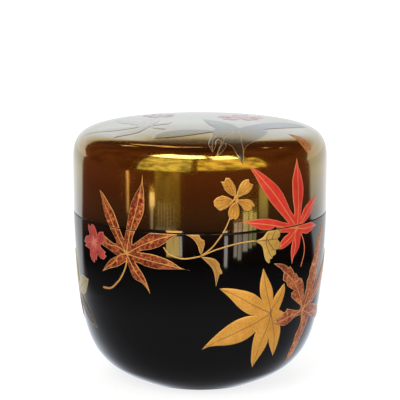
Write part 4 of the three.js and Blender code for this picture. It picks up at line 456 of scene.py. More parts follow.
def mat_black():
    t = Tree("black_lacquer")
    p = t.place()
    cloud = t.noise(p, 90, 3, 0.55)
    fine = t.noise(p, 2600, 2, 0.6)
    specks = t.remap(t.voronoi(p, 1500), 0.03, 0.09, 1.0, 0.0)
    sel = t.remap(t.noise(p, 700, 1), 0.62, 0.7)
    dust = t.math("MULTIPLY", specks, sel)
    col = t.mix(cloud, (0.0012, 0.0010, 0.0010), (0.0026, 0.0020, 0.0018))
    col = t.mix(t.math("MULTIPLY", dust, 0.4), col, (0.04, 0.026, 0.012))
    rough = t.math("ADD", t.remap(cloud, 0.3, 0.7, 0.035, 0.065), t.math("MULTIPLY", dust, 0.12))
    h = t.math("ADD", t.math("MULTIPLY", cloud, 0.6), t.math("MULTIPLY", fine, 0.02))
    t.principled(Base_Color=col, Roughness=rough, Metallic=0.0, IOR=1.52,
                 Normal=t.bump(h, 0.05, 0.0002))
    return t.owner


def mat_lining():
    t = Tree("lining_lacquer")
    p = t.place()
    # faint rings left by the brush as the piece turned
    x, y, z = split(t, p)
    ring = t.noise(t.scaled(p, 60, 60, 5200), 1, 3, 0.6)
    cloud = t.noise(p, 160, 3, 0.6)
    col = t.mix(cloud, (0.0060, 0.0046, 0.0042), (0.0125, 0.0090, 0.0075))
    rough = t.remap(t.math("ADD", ring, cloud), 0.6, 1.4, 0.14, 0.26)
    t.principled(Base_Color=col, Roughness=rough, IOR=1.5, Normal=t.bump(t.math("ADD", ring, t.math("MULTIPLY", cloud, 0.7)), 0.12, 0.00012))
    return t.owner


def mat_wood():
    t = Tree("bare_wood")
    p = t.place()
    g = t.noise(t.scaled(p, 900, 60, 60), 1, 5, 0.6, 0.4)
    w = t.node("TexWave", wave_type="BANDS", bands_direction="X")
    t.put(w.inputs["Vector"], t.scaled(p, 1, 0.2, 0.2))
    w.inputs["Scale"].default_value = 190
    w.inputs["Distortion"].default_value = 5
    w.inputs["Detail"].default_value = 3
    f = t.math("ADD", t.math("MULTIPLY", w.outputs["Fac"], 0.6), t.math("MULTIPLY", g, 0.5))
    col = t.ramp(f, [(0.2, (0.42, 0.25, 0.12)), (0.55, (0.56, 0.37, 0.21)), (0.9, (0.66, 0.47, 0.29))])
    t.principled(Base_Color=col, Roughness=t.remap(g, 0.3, 0.7, 0.5, 0.7), Normal=t.bump(f, 0.25, 0.0002))
    return t.owner


def mat_gold_dust():
    """Brown lacquer full of gold dust under a clear, polished coat; the dust thins out
    towards the lid's edge, where it ends in black."""
    t = Tree("gold_dust_lacquer")
    p = t.place()
    x, y, z = split(t, p)
    cloud = t.noise(p, 120, 3, 0.6)
    zz = t.math("ADD", z, t.math("MULTIPLY", t.math("SUBTRACT", cloud, 0.5), 0.004))
    fade = t.remap(zz, 0.0455, 0.0590, 0.0, 1.0)
    grain = t.noise(p, 4200, 2, 0.75)
    flake = t.voronoi(p, 5200, out="Color")
    fl, _, _ = split(t, flake)
    keep = t.remap(t.math("SUBTRACT", t.math("ADD", fl, t.math("MULTIPLY", fade, 0.42)), t.math("MULTIPLY", cloud, 0.2)), 0.86, 0.98)
    dark = t.mix(fade, GOLD_DUST_LOW, GOLD_DUST_HIGH)
    body = t.mix(t.remap(grain, 0.3, 0.75), t.mix(1.0, dark, (0.86, 0.84, 0.8), "MULTIPLY"), t.mix(1.0, dark, (1.16, 1.2, 1.25), "MULTIPLY"))
    col = t.mix(t.math("MULTIPLY", keep, 0.35), body, t.mix(fade, (0.12, 0.07, 0.016), (0.50, 0.34, 0.07)))
    metal = t.remap(fade, 0, 0.6, 0.9, 1.0)
    rough = t.math("ADD", t.remap(grain, 0.3, 0.7, 0.045, 0.075), t.math("MULTIPLY", keep, 0.04))
    h = t.math("ADD", grain, t.math("MULTIPLY", keep, 0.4))
    t.principled(Base_Color=col, Metallic=metal, Roughness=rough, IOR=1.5,
                 Normal=t.bump(h, 0.12, 0.00004),
                 Coat_Weight=1.0, Coat_Roughness=0.02, Coat_IOR=1.5,
                 Coat_Normal=t.bump(t.math("MULTIPLY", cloud, 0.5), 0.04, 0.0002))
    return t.owner


def relief_basics(t):
    """Distances drawn into the mesh, in mm: to the outline, to the nearest drawn line."""
    return t.attr("edge_mm"), t.attr("vein_mm"), t.place()


def mat_mottled(name="mottled_relief", a=(0.085, 0.006, 0.002), b=(0.23, 0.025, 0.005), c=(0.46, 0.105, 0.015), gold=(0.66, 0.34, 0.095)):
    """Brown-red lacquer with gold dust rubbed into it, with a gold outline and midribs."""
    t = Tree(name)
    e, v, p = relief_basics(t)
    big = t.noise(p, 620, 3, 0.62, 0.6)
    spots = t.voronoi(p, 1500, rand=1.0)
    grain = t.noise(p, 5200, 2, 0.7)
    f = t.math("ADD", t.math("MULTIPLY", big, 0.75), t.math("MULTIPLY", spots, 0.42))
    f = t.math("ADD", f, t.math("MULTIPLY", t.math("SUBTRACT", grain, 0.5), 0.35))
    col = t.ramp(f, [(0.43, a), (0.58, b), (0.74, c), (0.88, (0.74, 0.30, 0.06))])
    rim = t.remap(t.math("ADD", e, t.math("MULTIPLY", t.math("SUBTRACT", grain, 0.5), 0.1)), 0.06, 0.17, 0.95, 0.0)
    rib = t.remap(v, -0.02, 0.07, 0.9, 0.0)
    line = t.math("MAXIMUM", rim, rib)
    col = t.mix(line, col, t.mix(grain, gold, tuple(min(1, 1.35 * x) for x in gold)))
    t.principled(Base_Color=col, Metallic=t.math("MULTIPLY", line, 0.3), Roughness=t.mix(line, t.remap(f, 0.3, 0.8, 0.26, 0.42), (0.38,) * 3),
                 Normal=t.bump(t.math("ADD", f, t.math("MULTIPLY", grain, 0.3)), 0.3, 0.00006),
                 Specular_IOR_Level=0.3, Coat_Weight=0.3, Coat_Roughness=0.10)
    return t.owner


def mat_red():
    t = Tree("red_relief")
    e, v, p = relief_basics(t)
    cloud = t.noise(p, 260, 3, 0.6)
    grain = t.noise(p, 4800, 2, 0.7)
    streak = t.noise(t.scaled(p, 2600, 2600, 500), 1, 2, 0.6)
    f = t.math("ADD", t.math("MULTIPLY", cloud, 0.7), t.math("MULTIPLY", streak, 0.3))
    col = t.ramp(f, [(0.3, (0.47, 0.013, 0.005)), (0.5, (0.62, 0.021, 0.008)), (0.72, (0.74, 0.040, 0.015))])
    # painted highlight: the red is mixed towards a pale pink near the outline, standing in for the sheen the raised
    # edges catch
    painted_edge_highlight = t.remap(e, 0.0, 0.7, 0.45, 0.0, smooth=True)
    col = t.mix(painted_edge_highlight, col, (0.70, 0.07, 0.04))
    rim = t.remap(e, 0.07, 0.17, 0.75, 0.0)
    rib = t.remap(v, 0.0, 0.11, 0.85, 0.0)
    line = t.math("MAXIMUM", rim, rib)
    col = t.mix(line, col, t.mix(grain, (0.62, 0.19, 0.06), (0.82, 0.33, 0.12)))
    t.principled(Base_Color=col, Metallic=t.math("MULTIPLY", line, 0.25), Roughness=t.remap(cloud, 0.3, 0.7, 0.3, 0.44),
                 Normal=t.bump(t.math("ADD", grain, streak), 0.12, 0.00005), Specular_IOR_Level=0.3, Coat_Weight=0.25, Coat_Roughness=0.12)
    return t.owner


def mat_gold(name="gold_relief", lo=(0.56, 0.232, 0.026), mid=(0.78, 0.345, 0.044), hi=(0.96, 0.50, 0.09), rib_col=(0.24, 0.10, 0.03),
             rim_col=(0.85, 0.52, 0.17), metal=0.35, rib_gain=0.75, rim_gain=0.6, low=None):
    """Gold powder laid in lacquer and burnished: granular, with lines incised through it."""
    t = Tree(name)
    e, v, p = relief_basics(t)
    cloud = t.noise(p, 210, 3, 0.6)
    grain = t.noise(p, 5600, 2, 0.75)
    flake, _, _ = split(t, t.voronoi(p, 5200, out="Color"))
    f = t.math("ADD", t.math("MULTIPLY", cloud, 0.55), t.math("MULTIPLY", t.math("ADD", grain, flake), 0.24))
    col = t.ramp(f, [(0.28, lo), (0.5, mid), (0.74, hi)])
    if low:
        x, y, z = split(t, p)
        col = t.mix(t.remap(z, 0.0215, 0.0245), t.mix(f, tuple(0.7 * k for k in low), tuple(1.3 * k for k in low)), col)
    rim = t.remap(e, 0.06, 0.2, rim_gain, 0.0)
    rib = t.remap(v, 0.0, 0.1, rib_gain, 0.0)
    col = t.mix(rim, col, rim_col)
    col = t.mix(rib, col, rib_col)
    rough = t.remap(f, 0.3, 0.75, 0.30, 0.48)
    t.principled(Base_Color=col, Metallic=metal, Roughness=rough,
                 Normal=t.bump(t.math("ADD", t.math("MULTIPLY", grain, 0.8), t.math("MULTIPLY", flake, 0.4)), 0.35, 0.00005),
                 Coat_Weight=0.25, Coat_Roughness=0.2)
    return t.owner


def mat_petal(name, lo, mid, hi, rib_col, rim_col, coat=0.3, coat_rough=0.18):
    t = Tree(name)
    e, v, p = relief_basics(t)
    cloud = t.noise(p, 420, 3, 0.6)
    grain = t.noise(p, 4600, 2, 0.7)
    f = t.math("ADD", t.math("MULTIPLY", cloud, 0.7), t.math("MULTIPLY", grain, 0.3))
    col = t.ramp(f, [(0.3, lo), (0.5, mid), (0.72, hi)])
    col = t.mix(t.remap(e, 0.06, 0.22, 0.8, 0.0), col, rim_col)
    col = t.mix(t.remap(v, 0.0, 0.09, 0.8, 0.0), col, rib_col)
    t.principled(Base_Color=col, Roughness=t.remap(f, 0.3, 0.7, 0.32, 0.5),
                 Normal=t.bump(grain, 0.2, 0.00005), Coat_Weight=coat, Coat_Roughness=coat_rough)
    return t.owner


def mat_hatched():
    """Black lacquer leaf under the clear coat, hatched with fine gold lines."""
    t = Tree("black_relief")
    e, v, p = relief_basics(t)
    ph = t.attr("hatch")
    fr = t.math("FRACT", ph)
    tri = t.math("ABSOLUTE", t.math("SUBTRACT", fr, 0.5))
    hatch = t.remap(tri, 0.06, 0.13, 1.0, 0.0)
    rim = t.remap(e, 0.04, 0.13, 0.8, 0.0)
    rib = t.remap(v, 0.0, 0.09, 0.8, 0.0)
    line = t.math("MAXIMUM", t.math("MULTIPLY", hatch, 0.32), t.math("MAXIMUM", rim, rib))
    grain = t.noise(p, 5200, 2, 0.7)
    cloud = t.noise(p, 300, 3, 0.6)
    gold = t.mix(grain, (0.42, 0.22, 0.06), (0.75, 0.46, 0.16))
    col = t.mix(line, t.mix(cloud, (0.004, 0.003, 0.003), (0.010, 0.007, 0.005)), gold)
    t.principled(Base_Color=col, Metallic=t.math("MULTIPLY", line, 0.5), Roughness=t.remap(line, 0, 1, 0.2, 0.36),
                 Normal=t.bump(line, 0.15, 0.00004), Coat_Weight=0.9, Coat_Roughness=0.05, Coat_IOR=1.5)
    return t.owner


def mat_line_leaf():
    """A leaf drawn in gold line over the lid's own dusted ground."""
    t = Tree("brown_relief")
    e, v, p = relief_basics(t)
    grain = t.noise(p, 4200, 2, 0.75)
    cloud = t.noise(p, 300, 3, 0.6)
    ground = t.mix(t.math("MULTIPLY", t.math("ADD", grain, cloud), 0.5), (0.29, 0.185, 0.034), (0.40, 0.265, 0.050))
    line = t.math("MAXIMUM", t.remap(e, 0.08, 0.20, 1.0, 0.0), t.remap(v, 0.0, 0.09, 1.0, 0.0))
    col = t.mix(line, ground, t.mix(grain, (0.20, 0.085, 0.05), (0.34, 0.15, 0.08)))
    t.principled(Base_Color=col, Metallic=t.remap(line, 0, 1, 0.92, 0.3), Roughness=t.remap(grain, 0.3, 0.7, 0.14, 0.2),
                 Normal=t.bump(grain, 0.1, 0.00004), Coat_Weight=1.0, Coat_Roughness=0.02, Coat_IOR=1.5)
    return t.owner


GOLD_DUST_LOW, GOLD_DUST_HIGH = (0.060, 0.036, 0.012), (0.36, 0.235, 0.040)
M_BLACK, M_LINING, M_WOOD, M_LID = mat_black(), mat_lining(), mat_wood(), mat_gold_dust()
M_MOTTLED = mat_mottled()
M_TOOTHED = mat_mottled("toothed_relief", (0.15, 0.020, 0.007), (0.32, 0.062, 0.015), (0.50, 0.165, 0.045), (0.56, 0.28, 0.12))
M_RED = mat_red()
M_GOLD = mat_gold()
M_SPRIG = mat_gold("sprig_relief", (0.36, 0.16, 0.028), (0.52, 0.25, 0.045), (0.70, 0.38, 0.095), rib_col=(0.17, 0.075, 0.022), rib_gain=0.6, rim_gain=0.45)
M_BLOSSOM_GOLD = mat_gold("gold_blossom", (0.50, 0.19, 0.016), (0.70, 0.33, 0.040), (0.92, 0.52, 0.11), rib_col=(0.24, 0.085, 0.014), rim_col=(0.85, 0.55, 0.2), metal=0.45, rib_gain=0.55, rim_gain=0.75)
M_BUD = mat_gold("pale_gold_relief", (0.46, 0.245, 0.038), (0.63, 0.365, 0.068), (0.80, 0.51, 0.12), rib_col=(0.14, 0.07, 0.02), rim_col=(0.80, 0.62, 0.30), rib_gain=0.8, rim_gain=0.5)
M_PALE = mat_gold("pale_gold_leaf", (0.34, 0.26, 0.13), (0.46, 0.38, 0.20), (0.60, 0.50, 0.30), rib_col=(0.13, 0.075, 0.035), rim_col=(0.62, 0.50, 0.30), rib_gain=0.7, rim_gain=0.5, low=(0.055, 0.040, 0.030))
M_ROSE = mat_petal("rose_relief", (0.30, 0.018, 0.014), (0.42, 0.034, 0.026), (0.56, 0.066, 0.048), (0.66, 0.22, 0.14), (0.60, 0.16, 0.11))
M_PINK = mat_petal("pink_relief", (0.50, 0.20, 0.26), (0.60, 0.27, 0.33), (0.70, 0.38, 0.42), (0.75, 0.52, 0.42), (0.60, 0.34, 0.36), coat=0.9, coat_rough=0.05)
M_LILAC = mat_petal("lilac_relief", (0.40, 0.24, 0.36), (0.50, 0.32, 0.45), (0.60, 0.42, 0.52), (0.70, 0.55, 0.50), (0.52, 0.38, 0.46), coat=0.9, coat_rough=0.05)
M_CROWN_BROWN = mat_mottled("crown_brown_relief", (0.20, 0.050, 0.010), (0.36, 0.115, 0.022), (0.52, 0.20, 0.045), (0.50, 0.25, 0.08))
M_HATCHED, M_LINE = mat_hatched(), mat_line_leaf()

FLOOR_GLOW, SOFT, KEY, FILL, BACK, YAW, WHITE_WALL = 0.80, 0.45, 7.4, 3.3, 4.0, 0.0, 1.0

# ---------------------------------------------------------------- turned pieces
SEG = 288


def cut_line(line, z0, z1):
    """The part of a rising (r, z) line between two heights."""
    line = np.asarray(line, float)
    z = line[:, 1]
    inner = line[(z > z0 + 1e-6) & (z < z1 - 1e-6)]
    r0, r1 = np.interp(z0, z, line[:, 0]), np.interp(z1, z, line[:, 0])
    return np.concatenate([[[r0, z0]], inner, [[r1, z1]]])


def thin(line, step):
    """Resample by arc length, denser where the line bends."""
    m = Meridian(np.asarray(line, float))
    ang = np.concatenate([[0], np.cumsum(np.abs(np.diff(np.unwrap(np.arctan2(m.n[:, 1], m.n[:, 0])))))])
    w = m.s / step + ang / math.radians(1.6)
    n = max(4, int(math.ceil(w[-1])))
    q = np.interp(np.linspace(0, w[-1], n + 1), w, m.s)
    return np.stack([np.interp(q, m.s, m.line[:, 0]), np.interp(q, m.s, m.line[:, 1])], -1)


def smooth_line(points, n=160):
    """Centripetal Catmull-Rom through (r, z) points."""
    p = np.array(points, float)
    p = np.concatenate([[2 * p[0] - p[1]], p, [2 * p[-1] - p[-2]]])
    out = []
    for i in range(1, len(p) - 2):
        t = [0.0]
        for j in range(3):
            t.append(t[-1] + max(np.linalg.norm(p[i + j] - p[i + j - 1]), 1e-6) ** 0.5)
        u = np.linspace(t[1], t[2], max(3, n // (len(p) - 3)), endpoint=False)[:, None]
        a1 = (t[1] - u) / (t[1] - t[0]) * p[i - 1] + (u - t[0]) / (t[1] - t[0]) * p[i]
        a2 = (t[2] - u) / (t[2] - t[1]) * p[i] + (u - t[1]) / (t[2] - t[1]) * p[i + 1]
        a3 = (t[3] - u) / (t[3] - t[2]) * p[i + 1] + (u - t[2]) / (t[3] - t[2]) * p[i + 2]
        b1 = (t[2] - u) / (t[2] - t[0]) * a1 + (u - t[0]) / (t[2] - t[0]) * a2
        b2 = (t[3] - u) / (t[3] - t[1]) * a2 + (u - t[1]) / (t[3] - t[1]) * a3
        out.append((t[2] - u) / (t[2] - t[1]) * b1 + (u - t[1]) / (t[2] - t[1]) * b2)
    out = np.concatenate(out + [p[-2:-1]])
    return out


def turned(name, loop, body, nodes, material, segments=SEG, sharp=38.0):
    pts, faces = lathe(loop, segments)
    return make_object(name, pts, faces, body, nodes, material, sharp)


body_fine, lid_fine = BODY.line, LID.line

# vessel, outer coat: from the foot ring to the joint line, its upper edge rounded over,
# and in across the ledge to the collar
z_lo, z_hi = FOOT_DEEP + LAYER, SEAM - 0.02
outer = thin(cut_line(body_fine, z_lo, z_hi), 0.55)
inner = thin(cut_line(offset_line(body_fine, -COAT), z_lo, SEAM - 0.38), 0.9)
ledge = [(COLLAR_R + 0.05, z_hi), (COLLAR_R + 0.05, SEAM - 0.10), (COLLAR_R - LINING, SEAM - 0.10), (COLLAR_R - LINING, SEAM - 0.38)]
loop = fillet([*outer, *ledge, *inner[::-1]], {len(outer) - 1: 0.16})
turned("vessel_coat", loop, "vessel", ["vessel_outer_lacquer"], M_BLACK)

# vessel, underside: a soft-edged foot ring round a shallow dished recess
foot_out = thin(cut_line(body_fine, 0.0, FOOT_DEEP), 0.2)
recess = [(0.0, FOOT_DEEP + 0.10), (6.0, FOOT_DEEP + 0.085), (11.0, FOOT_DEEP + 0.03), (13.6, FOOT_DEEP - 0.02)]
core_r = lambda z: float(np.interp(z, offset_line(body_fine, -COAT - LAYER)[:, 1], offset_line(body_fine, -COAT - LAYER)[:, 0]))
bottom = fillet([recess[-1], (FOOT_IN - 0.22, FOOT_DEEP - 0.05), (FOOT_IN + 0.05, 0.0), (foot_out[0][0], 0.0), tuple(foot_out[2])],
                {1: 0.35, 2: 0.22, 3: 0.12}, 6)
loop = [*smooth_line(recess, 30)[:-1], *bottom, *foot_out[3:], (core_r(1.0) - 0.15, FOOT_DEEP), (core_r(FOOT_TOP) - 0.25, FOOT_TOP), (0.0, FOOT_TOP)]
turned("vessel_foot", loop, "vessel", ["vessel_base_lacquer"], M_BLACK)

# the bowl inside the vessel
bowl = smooth_line([(0, FLOOR_Z), (7.5, 4.86), (15, 5.1), (20.4, 6.4), (23.8, 9.2), (26.2, 13.5), (27.5, 19), (28.2, 26), (28.4, 34), (BORE_R, 44)], 150)
bowl[0] = (0, FLOOR_Z)
lip = fillet([(BORE_R, 44.01), (BORE_R, COLLAR_TOP), (COLLAR_R, COLLAR_TOP), (COLLAR_R, SEAM - 0.04), (COLLAR_R - LINING, SEAM - 0.04)],
             {1: 0.5, 2: 0.55, 3: 0.05}, 8)[:-1]
back = offset_line(bowl, LINING)[::-1]
back[-1] = (0, FLOOR_Z - LINING)
lining = [*bowl, *lip[1:], (COLLAR_R - LINING, SEAM - 0.04), (COLLAR_R - LINING, COLLAR_TOP - LINING), (BORE_R + LINING, COLLAR_TOP - LINING), *back]
turned("vessel_lining", lining, "vessel", ["vessel_inner_lacquer"], M_LINING)

# vessel, wood
core_out = thin(cut_line(offset_line(body_fine, -COAT - LAYER), FOOT_TOP + LAYER, SEAM - 0.44), 1.2)
core_in = offset_line(bowl, LINING + LAYER)[::-1]
core_in[-1] = (0, FLOOR_Z - LINING - LAYER)
cr = COLLAR_R - LINING - LAYER
ct = COLLAR_TOP - LINING - LAYER
loop = [(0, FOOT_TOP + LAYER), *core_out, (cr, SEAM - 0.44), (cr, ct), (BORE_R + LINING + LAYER, ct), *core_in]
turned("vessel_wood", loop, "vessel", ["vessel_wood_core"], M_WOOD, 144)

# lid, outer coat with a rounded lower edge, turned in under the rim
outer = thin(np.concatenate([[[R_OUT, LID_EDGE]], lid_fine[lid_fine[:, 1] > LID_EDGE + 0.05]]), 0.8)
outer[-1] = (0, HEIGHT)
off = offset_line(lid_fine, -COAT)
inner = thin(np.concatenate([[[R_OUT - COAT, LID_EDGE + 0.34]], off[off[:, 1] > LID_EDGE + 0.39]]), 1.1)
inner[-1] = (0, HEIGHT - COAT)
rim = [(LID_BORE + LINING + 0.05, LID_EDGE + 0.34), (LID_BORE + LINING + 0.05, LID_EDGE)]
loop = fillet([*inner[::-1], *rim, *outer], {len(inner) + 2: 0.14, len(inner) + 1: 0.10})
turned("lid_coat", loop, "lid", ["lid_outer_lacquer"], M_LID)

# lid, inside
ceil = smooth_line([(LID_BORE, LID_EDGE + 0.05), (LID_BORE, 51), (LID_BORE, 56.4), (30.55, 58.6), (30.0, 60.3), (28.6, 61.75), (26.2, 62.45), (20, 62.72), (12, 62.85), (0, LID_CEIL)], 170)
ceil[-1] = (0, LID_CEIL)
up = offset_line(ceil, LINING)
up[-1] = (0, LID_CEIL + LINING)
up[0] = (LID_BORE + LINING, LID_EDGE + 0.05)
loop = fillet([*up[::1], *ceil[::-1]], {})
turned("lid_lining", loop, "lid_lining", ["lid_inner_lacquer"], M_LINING)
up2 = offset_line(ceil, LINING + LAYER)
up2[-1] = (0, LID_CEIL + LINING + LAYER)
up2 = np.concatenate([[[LID_BORE + LINING + LAYER, LID_EDGE + 0.40]], up2[up2[:, 1] > LID_EDGE + 0.45]])
off = offset_line(lid_fine, -COAT - LAYER)
out2 = thin(np.concatenate([[[R_OUT - COAT - LAYER, LID_EDGE + 0.40]], off[off[:, 1] > LID_EDGE + 0.45]]), 1.4)
out2[-1] = (0, HEIGHT - COAT - LAYER)
turned("lid_wood", [*up2[::-1], *out2], "lid", ["lid_wood_core"], M_WOOD, 144)


# ---------------------------------------------------------------- raised ornament
def smooth_outline(pts, step=0.2, corner=38.0):
    """Closed outline: rounded between its corners, which stay sharp."""
    p = np.array(pts, float)
    if np.sum(p[:, 0] * np.roll(p[:, 1], -1) - np.roll(p[:, 0], -1) * p[:, 1]) < 0:
        p = p[::-1]
    n = len(p)
    d1, d2 = p - np.roll(p, 1, axis=0), np.roll(p, -1, axis=0) - p
    turn = np.degrees(np.abs((np.arctan2(d2[:, 1], d2[:, 0]) - np.arctan2(d1[:, 1], d1[:, 0]) + math.pi) % (2 * math.pi) - math.pi))
    hard = turn > corner
    out = []
    for i in range(n):
        a, b = p[i], p[(i + 1) % n]
        L = np.linalg.norm(b - a)
        if L < 1e-6:
            continue
        pre = p[i - 1] if not hard[i] else 2 * a - b
        post = p[(i + 2) % n] if not hard[(i + 1) % n] else 2 * b - a
        # tangents, no longer than the side they run along
        ta = b - a if hard[i] else (b - pre) * (L / max(np.linalg.norm(b - a) + np.linalg.norm(a - pre), 1e-6))
        tb = b - a if hard[(i + 1) % n] else (post - a) * (L / max(np.linalg.norm(b - a) + np.linalg.norm(post - b), 1e-6))
        m = max(1, int(round(L / step)))
        t = (np.arange(m) / m)[:, None]
        out.append((2 * t**3 - 3 * t**2 + 1) * a + (t**3 - 2 * t**2 + t) * ta + (3 * t**2 - 2 * t**3) * b + (t**3 - t**2) * tb)
    return np.concatenate(out)


def inside(poly, q):
    a, b = poly, np.roll(poly, -1, axis=0)
    hit = np.zeros(len(q), bool)
    for k in range(len(a)):
        (x0, y0), (x1, y1) = a[k], b[k]
        if y0 == y1:
            continue
        c = ((y0 > q[:, 1]) != (y1 > q[:, 1])) & (q[:, 0] < (x1 - x0) * (q[:, 1] - y0) / (y1 - y0) + x0)
        hit ^= c
    return hit


def seg_distance(a, b, q):
    """Distance from each q to the nearest of the segments a-b, that segment, and how far along it."""
    best, who, along = np.full(len(q), 1e9), np.zeros(len(q), int), np.zeros(len(q))
    for k in range(len(a)):
        d = b[k] - a[k]
        t = np.clip(((q - a[k]) @ d) / max(float(d @ d), 1e-12), 0, 1)
        r = np.hypot(*(q - a[k] - t[:, None] * d).T)
        m = r < best
        best[m], who[m], along[m] = r[m], k, t[m]
    return best, who, along


def resample(line, step):
    line = np.array(line, float)
    s = np.concatenate([[0], np.cumsum(np.hypot(*np.diff(line, axis=0).T))])
    n = max(1, int(round(s[-1] / step)))
    q = np.linspace(0, s[-1], n + 1)
    return np.stack([np.interp(q, s, line[:, 0]), np.interp(q, s, line[:, 1])], -1)


def spread(points, gap):
    """Drop points closer than gap to one already kept."""
    cells, kept = {}, []
    for p in points:
        c = (int(math.floor(p[0] / gap)), int(math.floor(p[1] / gap)))
        ok = True
        for i in (-1, 0, 1):
            for j in (-1, 0, 1):
                for q in cells.get((c[0] + i, c[1] + j), ()):
                    if (p[0] - q[0]) ** 2 + (p[1] - q[1]) ** 2 < gap * gap:
                        ok = False
        if ok:
            cells.setdefault(c, []).append(p)
            kept.append(p)
    return kept


def relief(name, chart, outline, lines, body, slot, material, height=0.15, dome=0.55, line_w=0.10, ridge=0.03, puff=0.03, grid=0.42, hatch=0.0, base=0.03):
    loop = smooth_outline(outline)
    if chart == "v":
        loop[:, 1] = np.minimum(loop[:, 1], BODY.total - 0.13)
    if chart == "l":
        loop[:, 1] = np.maximum(loop[:, 1], 0.13)
    keep = np.hypot(*(loop - np.roll(loop, 1, axis=0)).T) > 0.02
    loop = loop[keep]
    oa, ob = loop, np.roll(loop, -1, axis=0)
    veins = [resample(v, 0.24) for v in lines]
    va = np.concatenate([v[:-1] for v in veins]) if veins else np.zeros((0, 2))
    vb = np.concatenate([v[1:] for v in veins]) if veins else np.zeros((0, 2))
    share = np.concatenate([np.arange(len(v) - 1) / max(len(v) - 1, 1) for v in veins]) if veins else np.zeros(0)
    run = np.concatenate([np.arange(len(v) - 1) * 0.24 for v in veins]) if veins else np.zeros(0)
    # candidate points: the drawn lines first, then rows along the outline, then a hex grid
    cand = [np.concatenate(veins)] if veins else []
    cand = [c[inside(loop, c)] for c in cand]
    cand = [c[seg_distance(oa, ob, c)[0] > 0.09] for c in cand]
    tan = np.roll(loop, -1, axis=0) - np.roll(loop, 1, axis=0)
    tan /= np.maximum(np.hypot(tan[:, 0], tan[:, 1]), 1e-9)[:, None]
    nor = np.stack([-tan[:, 1], tan[:, 0]], -1)
    for d in (0.13, 0.28, 0.46):
        c = loop + nor * d
        c = c[inside(loop, c)]
        c = c[seg_distance(oa, ob, c)[0] > 0.88 * d]
        cand.append(c)
    lo, hi = loop.min(0), loop.max(0)
    gx = np.arange(lo[0], hi[0] + grid, grid)
    gy = np.arange(lo[1], hi[1] + grid, grid * 0.866)
    G = np.array([(x + (grid / 2 if j % 2 else 0), y) for j, y in enumerate(gy) for x in gx])
    G = G[inside(loop, G)]
    if len(G):
        G = G[seg_distance(oa, ob, G)[0] > 0.62]
        cand.append(G)
    pts = []
    for k, c in enumerate(cand):
        pts += [tuple(x) for x in c]
    pts = spread(pts, 0.125) if pts else []
    verts = [Vector((float(x), float(y))) for x, y in loop] + [Vector(p) for p in pts]
    nl = len(loop)
    edges = [(i, (i + 1) % nl) for i in range(nl)]
    v2, _, tri, *_ = delaunay_2d_cdt(verts, edges, [], 0, 1e-5)
    v2 = np.array([tuple(v) for v in v2], float)
    tri = np.array([list(f) for f in tri if len(f) == 3], int)
    mid = v2[tri].mean(1)
    area = np.abs(np.cross(v2[tri[:, 1]] - v2[tri[:, 0]], v2[tri[:, 2]] - v2[tri[:, 0]]))
    tri = tri[inside(loop, mid) & (area > 1e-6)]
    used = np.unique(tri)
    back = np.full(len(v2), -1)
    back[used] = np.arange(len(used))
    v2, tri = v2[used], back[tri]
    # orient
    w = np.cross(v2[tri[:, 1]] - v2[tri[:, 0]], v2[tri[:, 2]] - v2[tri[:, 0]])
    tri[w < 0] = tri[w < 0][:, ::-1]
    if chart == "t":
        pass
    d_out = seg_distance(oa, ob, v2)[0]
    half = {}
    for f in tri:
        for i in range(3):
            half[(f[i], f[(i + 1) % 3])] = 1
    rim = [(a, b) for a, b in half if (b, a) not in half]
    on_rim = np.zeros(len(v2), bool)
    on_rim[[a for a, b in rim]] = True
    d_out[on_rim] = 0.0
    if len(va):
        dv, who, al = seg_distance(va, vb, v2)
        tt = share[who] + al / np.maximum(1, 1)
        half_w = line_w * (1.0 - 0.55 * np.clip(share[who], 0, 1))
        vein = dv - half_w
        along = run[who] + al * 0.24
    else:
        dv, vein, along = np.full(len(v2), 9.0), np.full(len(v2), 9.0), np.zeros(len(v2))
    k = np.clip(d_out / dome, 0, 1)
    lift = base + (height - base) * np.sqrt(np.maximum(0, 1 - (1 - k) ** 2)) * 0.999
    lift = np.where(on_rim, base, lift)
    lift += puff * np.clip(np.minimum(d_out - 0.1, dv) / 1.3, 0, 1) ** 0.8
    lift += ridge * np.exp(-(dv / 0.16) ** 2) * np.clip(d_out / 0.4, 0, 1)
    lift = np.minimum(lift, 0.235)
    top = surface(chart, v2, lift)
    low = surface(chart, v2, np.full(len(v2), -0.03))
    n = len(v2)
    faces = [tuple(int(i) for i in f) for f in tri]
    faces += [tuple(int(i) + n for i in f[::-1]) for f in tri]
    faces += [(int(b), int(a), int(a) + n, int(b) + n) for a, b in rim]
    P = np.concatenate([top, low])
    if signed_volume(P, faces) < 0:
        faces = [f[::-1] for f in faces]
    obj = make_object(name + "_relief", P, faces, body, [name], material, 50.0)
    m = obj.data
    if len(m.vertices) == 2 * n:
        for key, val in (("edge_mm", d_out), ("vein_mm", vein), ("hatch", (along * 0.9 + np.abs(dv) * 1.1) / hatch if hatch else 0 * dv)):
            at = m.attributes.new(key, "FLOAT", "POINT")
            at.data.foreach_set("value", np.concatenate([val, val]).astype(np.float32))
    else:
        print("attributes skipped on", name)
    return obj


